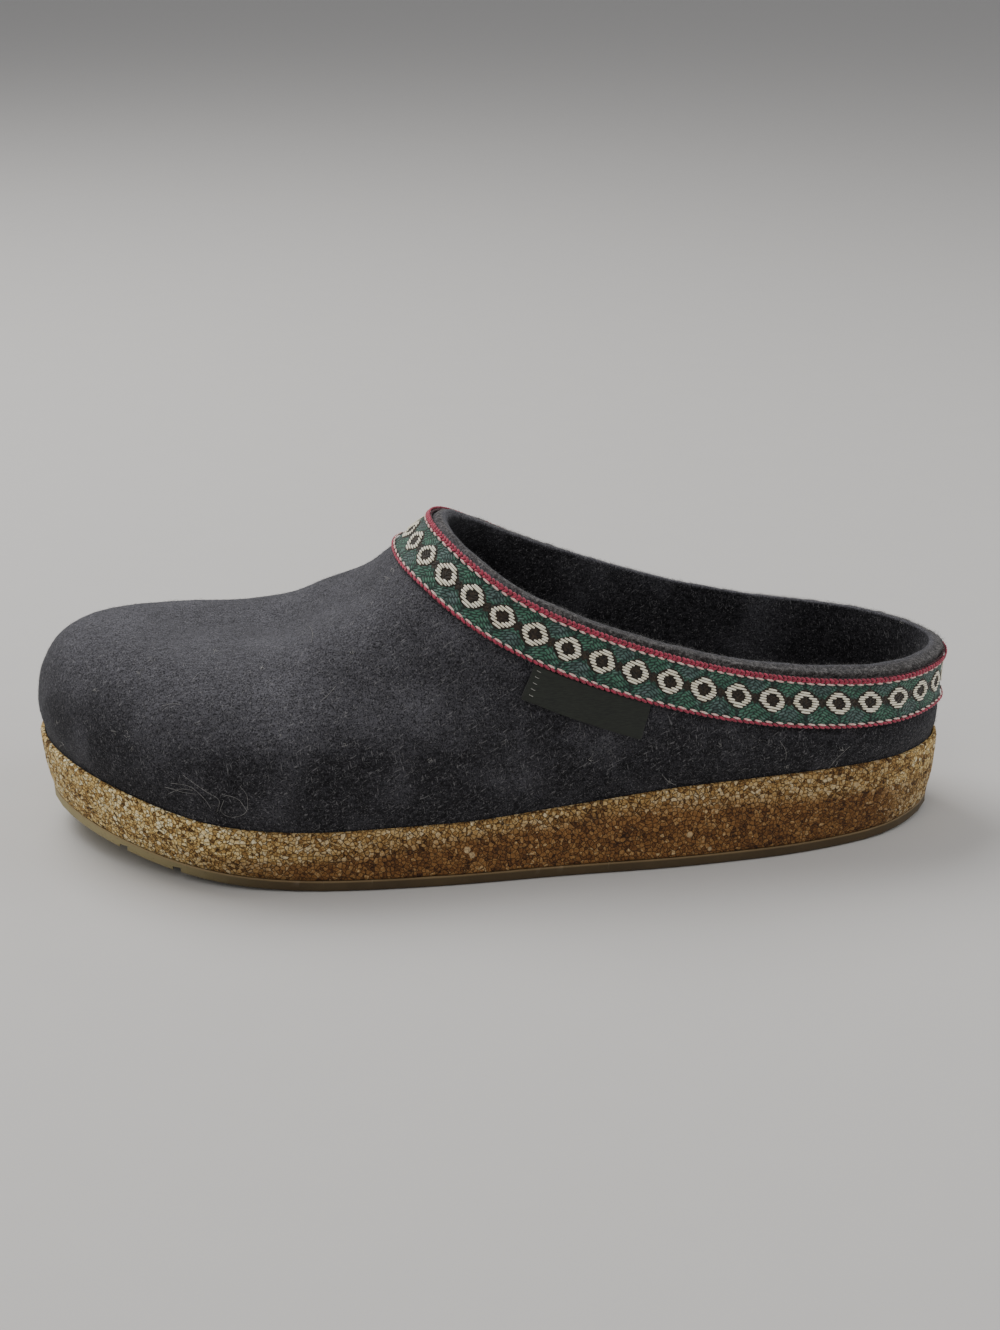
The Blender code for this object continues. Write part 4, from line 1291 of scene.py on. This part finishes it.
# %% Insole
bm = copy_of("insole")
crease_sharp(bm, math.radians(50), 0.8)
insole_mesh = smoothed(bm, "felt_insole", UPPER_LEVELS)
insole_points, insole_normals = corners_of(insole_mesh)
top_side = soft_step(insole_normals[:, 2], 0.3, 0.8)
HEEL_REST = ((-0.098, 0.0), 26.0 * MM)
BALL_REST = ((0.052, -0.002), 34.0 * MM)
WORN_DEPTH = 0.5 * MM
FELTED_SIZE = 4.0 * MM
FELTED_HEIGHT = 0.15 * MM
worn = np.zeros(len(insole_points))
for middle_of_rest, reach in (HEEL_REST, BALL_REST):
    far = np.linalg.norm(insole_points[:, :2] - np.array(middle_of_rest), axis=1)
    worn = np.maximum(worn, np.exp(-(far / reach) ** 2))
felted = clouds(insole_points, FELTED_SIZE, 2.0) * FELTED_HEIGHT
rise = (felted - worn * WORN_DEPTH) * top_side
move_corners(insole_mesh, insole_points + insole_normals * rise[:, None])
mark(insole_mesh, "worn", worn)


def insole_finish():
    f = Finish("wool_footbed", roughness=0.95, Sheen_Weight=0.2)
    where = f.place()
    fine = f.noise(where, 1300.0, 3.0, 0.7)
    colour = f.mix(fine.rise(0.35, 0.7), (0.010, 0.010, 0.013), (0.040, 0.040, 0.046))
    colour = f.mix(f.attribute("worn") * 0.6, colour, (0.022, 0.020, 0.020))
    flecks = f.cells(where, 330.0, "F1", "Distance").rise(0.075, 0.03)
    colour = f.mix(flecks * 0.5, colour, (0.20, 0.20, 0.21))
    return f.coat(Base_Color=colour, Normal=f.bump(fine, 0.3 * MM, 0.8))


insole = show("felt_insole", insole_mesh, insole_finish())
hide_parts("insole")
print("insole:", len(insole.data.polygons), "faces")

# %% [markdown]
# The tag is a folded piece of dark satin sewn under the ribbon's lower edge. It is left bare. Satin
# shows fine lines along it, and light thread tacks down its front end.

# %% Satin tag
TAG_LIFT = 0.25 * MM
TAG_END_LIFT = 0.55 * MM
TAG_WAVE = 0.12 * MM
TAG_WAVES = 9.0
bm = copy_of("tag")
crease_sharp(bm, math.radians(60), 0.5)
tag_mesh = smoothed(bm, "satin_tag", 3)
tag_points = corners_of(tag_mesh)[0]
TAG_LOW, TAG_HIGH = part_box("tag")
drop = distance_to(ribbon_tree, tag_points)
free_end = soft_step(drop / drop.max(), 0.25, 1.0)
toward_heel = (TAG_HIGH.x - tag_points[:, 0]) / (TAG_HIGH.x - TAG_LOW.x)
lift = TAG_LIFT + TAG_END_LIFT * soft_step(toward_heel, 0.5, 1.0)
lift += TAG_WAVE * np.sin(toward_heel * TAG_WAVES)
lift *= free_end
away_from_felt = np.array([Vector((0, 1, 0.25)).normalized()] * len(tag_points))
move_corners(tag_mesh, tag_points + away_from_felt * lift[:, None])


def satin_finish():
    f = Finish("olive_satin", roughness=0.6, Sheen_Weight=0.15, Specular_IOR_Level=0.35)
    where = f.place()
    lines = f.noise(f.place((10.0, 1.0, 1.0)), 4200.0, 2.0)
    cloud = f.noise(where, 160.0, 3.0)
    colour = f.mix(lines.rise(0.3, 0.7), (0.0055, 0.0068, 0.0050), (0.016, 0.020, 0.0145))
    colour = f.mix(cloud * 0.30, colour, (0.030, 0.033, 0.024))
    return f.coat(Base_Color=colour, Roughness=0.50 + lines * 0.25, Normal=f.bump(lines, 0.05 * MM, 0.6))


tag = show("satin_tag", tag_mesh, satin_finish())
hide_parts("tag")
print("tag:", len(tag.data.polygons), "faces")

# %% [markdown]
# The shoe has been worn, and wool catches lint. A tangle of pale hairs lies on the toe, single hairs
# and flecks elsewhere. Each is pointed out where it shows in the photograph, as across and down in
# its frame, and a ray from the camera carries every point to the felt or the tag behind it.

# %% From a place in the photograph to the shoe
HAIR_STEP = 0.6 * MM
felt_surface = tree_over(upper.data)
tag_surface = tree_over(tag.data)


def seen_at(across, down, surface, proud):
    """The place on a surface that the camera sees at a point of the photograph's frame."""
    ray = (axis_x * (across - PHOTO_WIDE / 2) - axis_y * (down - PHOTO_TALL / 2)) / FOCAL_PIXELS - axis_z
    hit, normal = surface.ray_cast(eye, ray.normalized())[:2]
    if hit is None:
        return None
    return np.array(hit + normal.normalized() * proud)


def thread_over(points, surface, proud):
    """A smooth line over a surface through a few points of the photograph's frame."""
    corners = [seen_at(*p, surface, proud) for p in points]
    corners = [c for c in corners if c is not None]
    return dense_line(corners, HAIR_STEP) if len(corners) > 1 else np.zeros((0, 3))


def tube(name, paths, radius):
    """One mesh of round threads along paths, from a curve with a bevel."""
    curve = bpy.data.curves.new(name, "CURVE")
    curve.dimensions = "3D"
    curve.bevel_depth = radius
    curve.bevel_resolution = 0
    for path in paths:
        spline = curve.splines.new("POLY")
        spline.points.add(len(path) - 1)
        spline.points.foreach_set("co", np.column_stack([path, np.ones(len(path))]).ravel())
    thing = bpy.data.objects.new(name, curve)
    bpy.context.scene.collection.objects.link(thing)
    graph = bpy.context.evaluated_depsgraph_get()
    mesh = bpy.data.meshes.new_from_object(thing.evaluated_get(graph))
    bpy.data.objects.remove(thing)
    mesh.name = name
    return mesh


print("the camera can point at the shoe")

# %% Stray hairs and lint
# Each hair is a row of points, across and down in pixels of the photograph's frame
HAIRS = (
    ((165, 787), (174, 789), (183, 792), (196, 794)),
    ((168, 794), (180, 789), (193, 790)),
    ((183, 775), (194, 783), (207, 792), (219, 800), (217, 812)),
    ((240, 786), (247, 796), (246, 812), (232, 817), (221, 811), (224, 800)),
    ((222, 794), (238, 799), (247, 811)),
    ((171, 783), (189, 786), (203, 797), (211, 808)),
    ((320, 702), (328, 695), (336, 686)),
    ((162, 706), (172, 704), (183, 705)),
    ((193, 680), (198, 674)),
    ((827, 770), (838, 757), (850, 746)),
    ((780, 741), (786, 752), (784, 768)),
    ((662, 774), (668, 781), (676, 785)),
    ((309, 625), (313, 634), (311, 643)),
    ((446, 583), (452, 590), (459, 594)),
)
FLECKS = (
    (152, 660), (215, 651), (114, 732), (127, 735), (132, 748), (786, 766), (670, 781), (58, 721),
    (61, 745), (96, 690), (140, 672), (262, 668), (353, 652), (393, 571), (388, 578), (398, 566),
    (871, 675), (884, 669), (873, 671), (902, 622), (912, 621), (921, 623), (505, 742), (590, 760),
    (430, 760), (345, 745), (280, 735), (720, 745), (842, 748), (836, 763),
)
HAIR_RADIUS = 0.042 * MM
HAIR_PROUD = 0.12 * MM
FLECK_PROUD = 0.10 * MM
FLECK_HAIRS = 4
FLECK_SPREAD = 1.3
FLECK_BEND = 0.4
hairs = [thread_over(points, felt_surface, HAIR_PROUD) for points in HAIRS]
for fleck in FLECKS:
    for _ in range(FLECK_HAIRS):
        turn = chance.uniform(0, 2 * np.pi)
        reach = chance.uniform(0.8, 2.6)
        centre = np.array(fleck) + chance.normal(size=2) * FLECK_SPREAD
        step = np.array([np.cos(turn), np.sin(turn)]) * reach
        bend = chance.normal(size=2) * FLECK_BEND
        hairs.append(thread_over([centre - step, centre + bend, centre + step], felt_surface, FLECK_PROUD))
lint_finish = Finish("pale_lint", roughness=0.8)
fade = lint_finish.noise(lint_finish.place(), 500.0, 2.0)
pale_lint = lint_finish.coat(
    Base_Color=lint_finish.ramp(fade, (0.3, (0.16, 0.155, 0.15)), (0.7, (0.50, 0.49, 0.47))))
found = [hair for hair in hairs if len(hair) > 2]
lint = show("stray_lint", tube("stray_lint", found, HAIR_RADIUS), pale_lint)
print("lint:", len(lint.data.polygons), "faces")

# %% Tacking of the tag's front end
TACKS = ((540, 666), (538, 672), (536, 678), (534, 684), (532, 690), (530, 696))
TACK_POINTS = ((-1.0, -1.5), (1.5, 0.0), (3.0, 0.5))
TACK_RADIUS = 0.09 * MM
TACK_PROUD = 0.05 * MM
tacks = []
for across, down in TACKS:
    points = [(across + right_by, down + down_by) for right_by, down_by in TACK_POINTS]
    tacks.append(thread_over(points, tag_surface, TACK_PROUD))
tack_thread = thread_finish("tacking_thread", (0.42, 0.42, 0.38), (0.20, 0.20, 0.18), 0.7)
found = [tack for tack in tacks if len(tack) > 2]
tacking = show("tag_tacking", tube("tag_tacking", found, TACK_RADIUS), tack_thread)
print("tacking:", len(tacking.data.polygons), "faces")
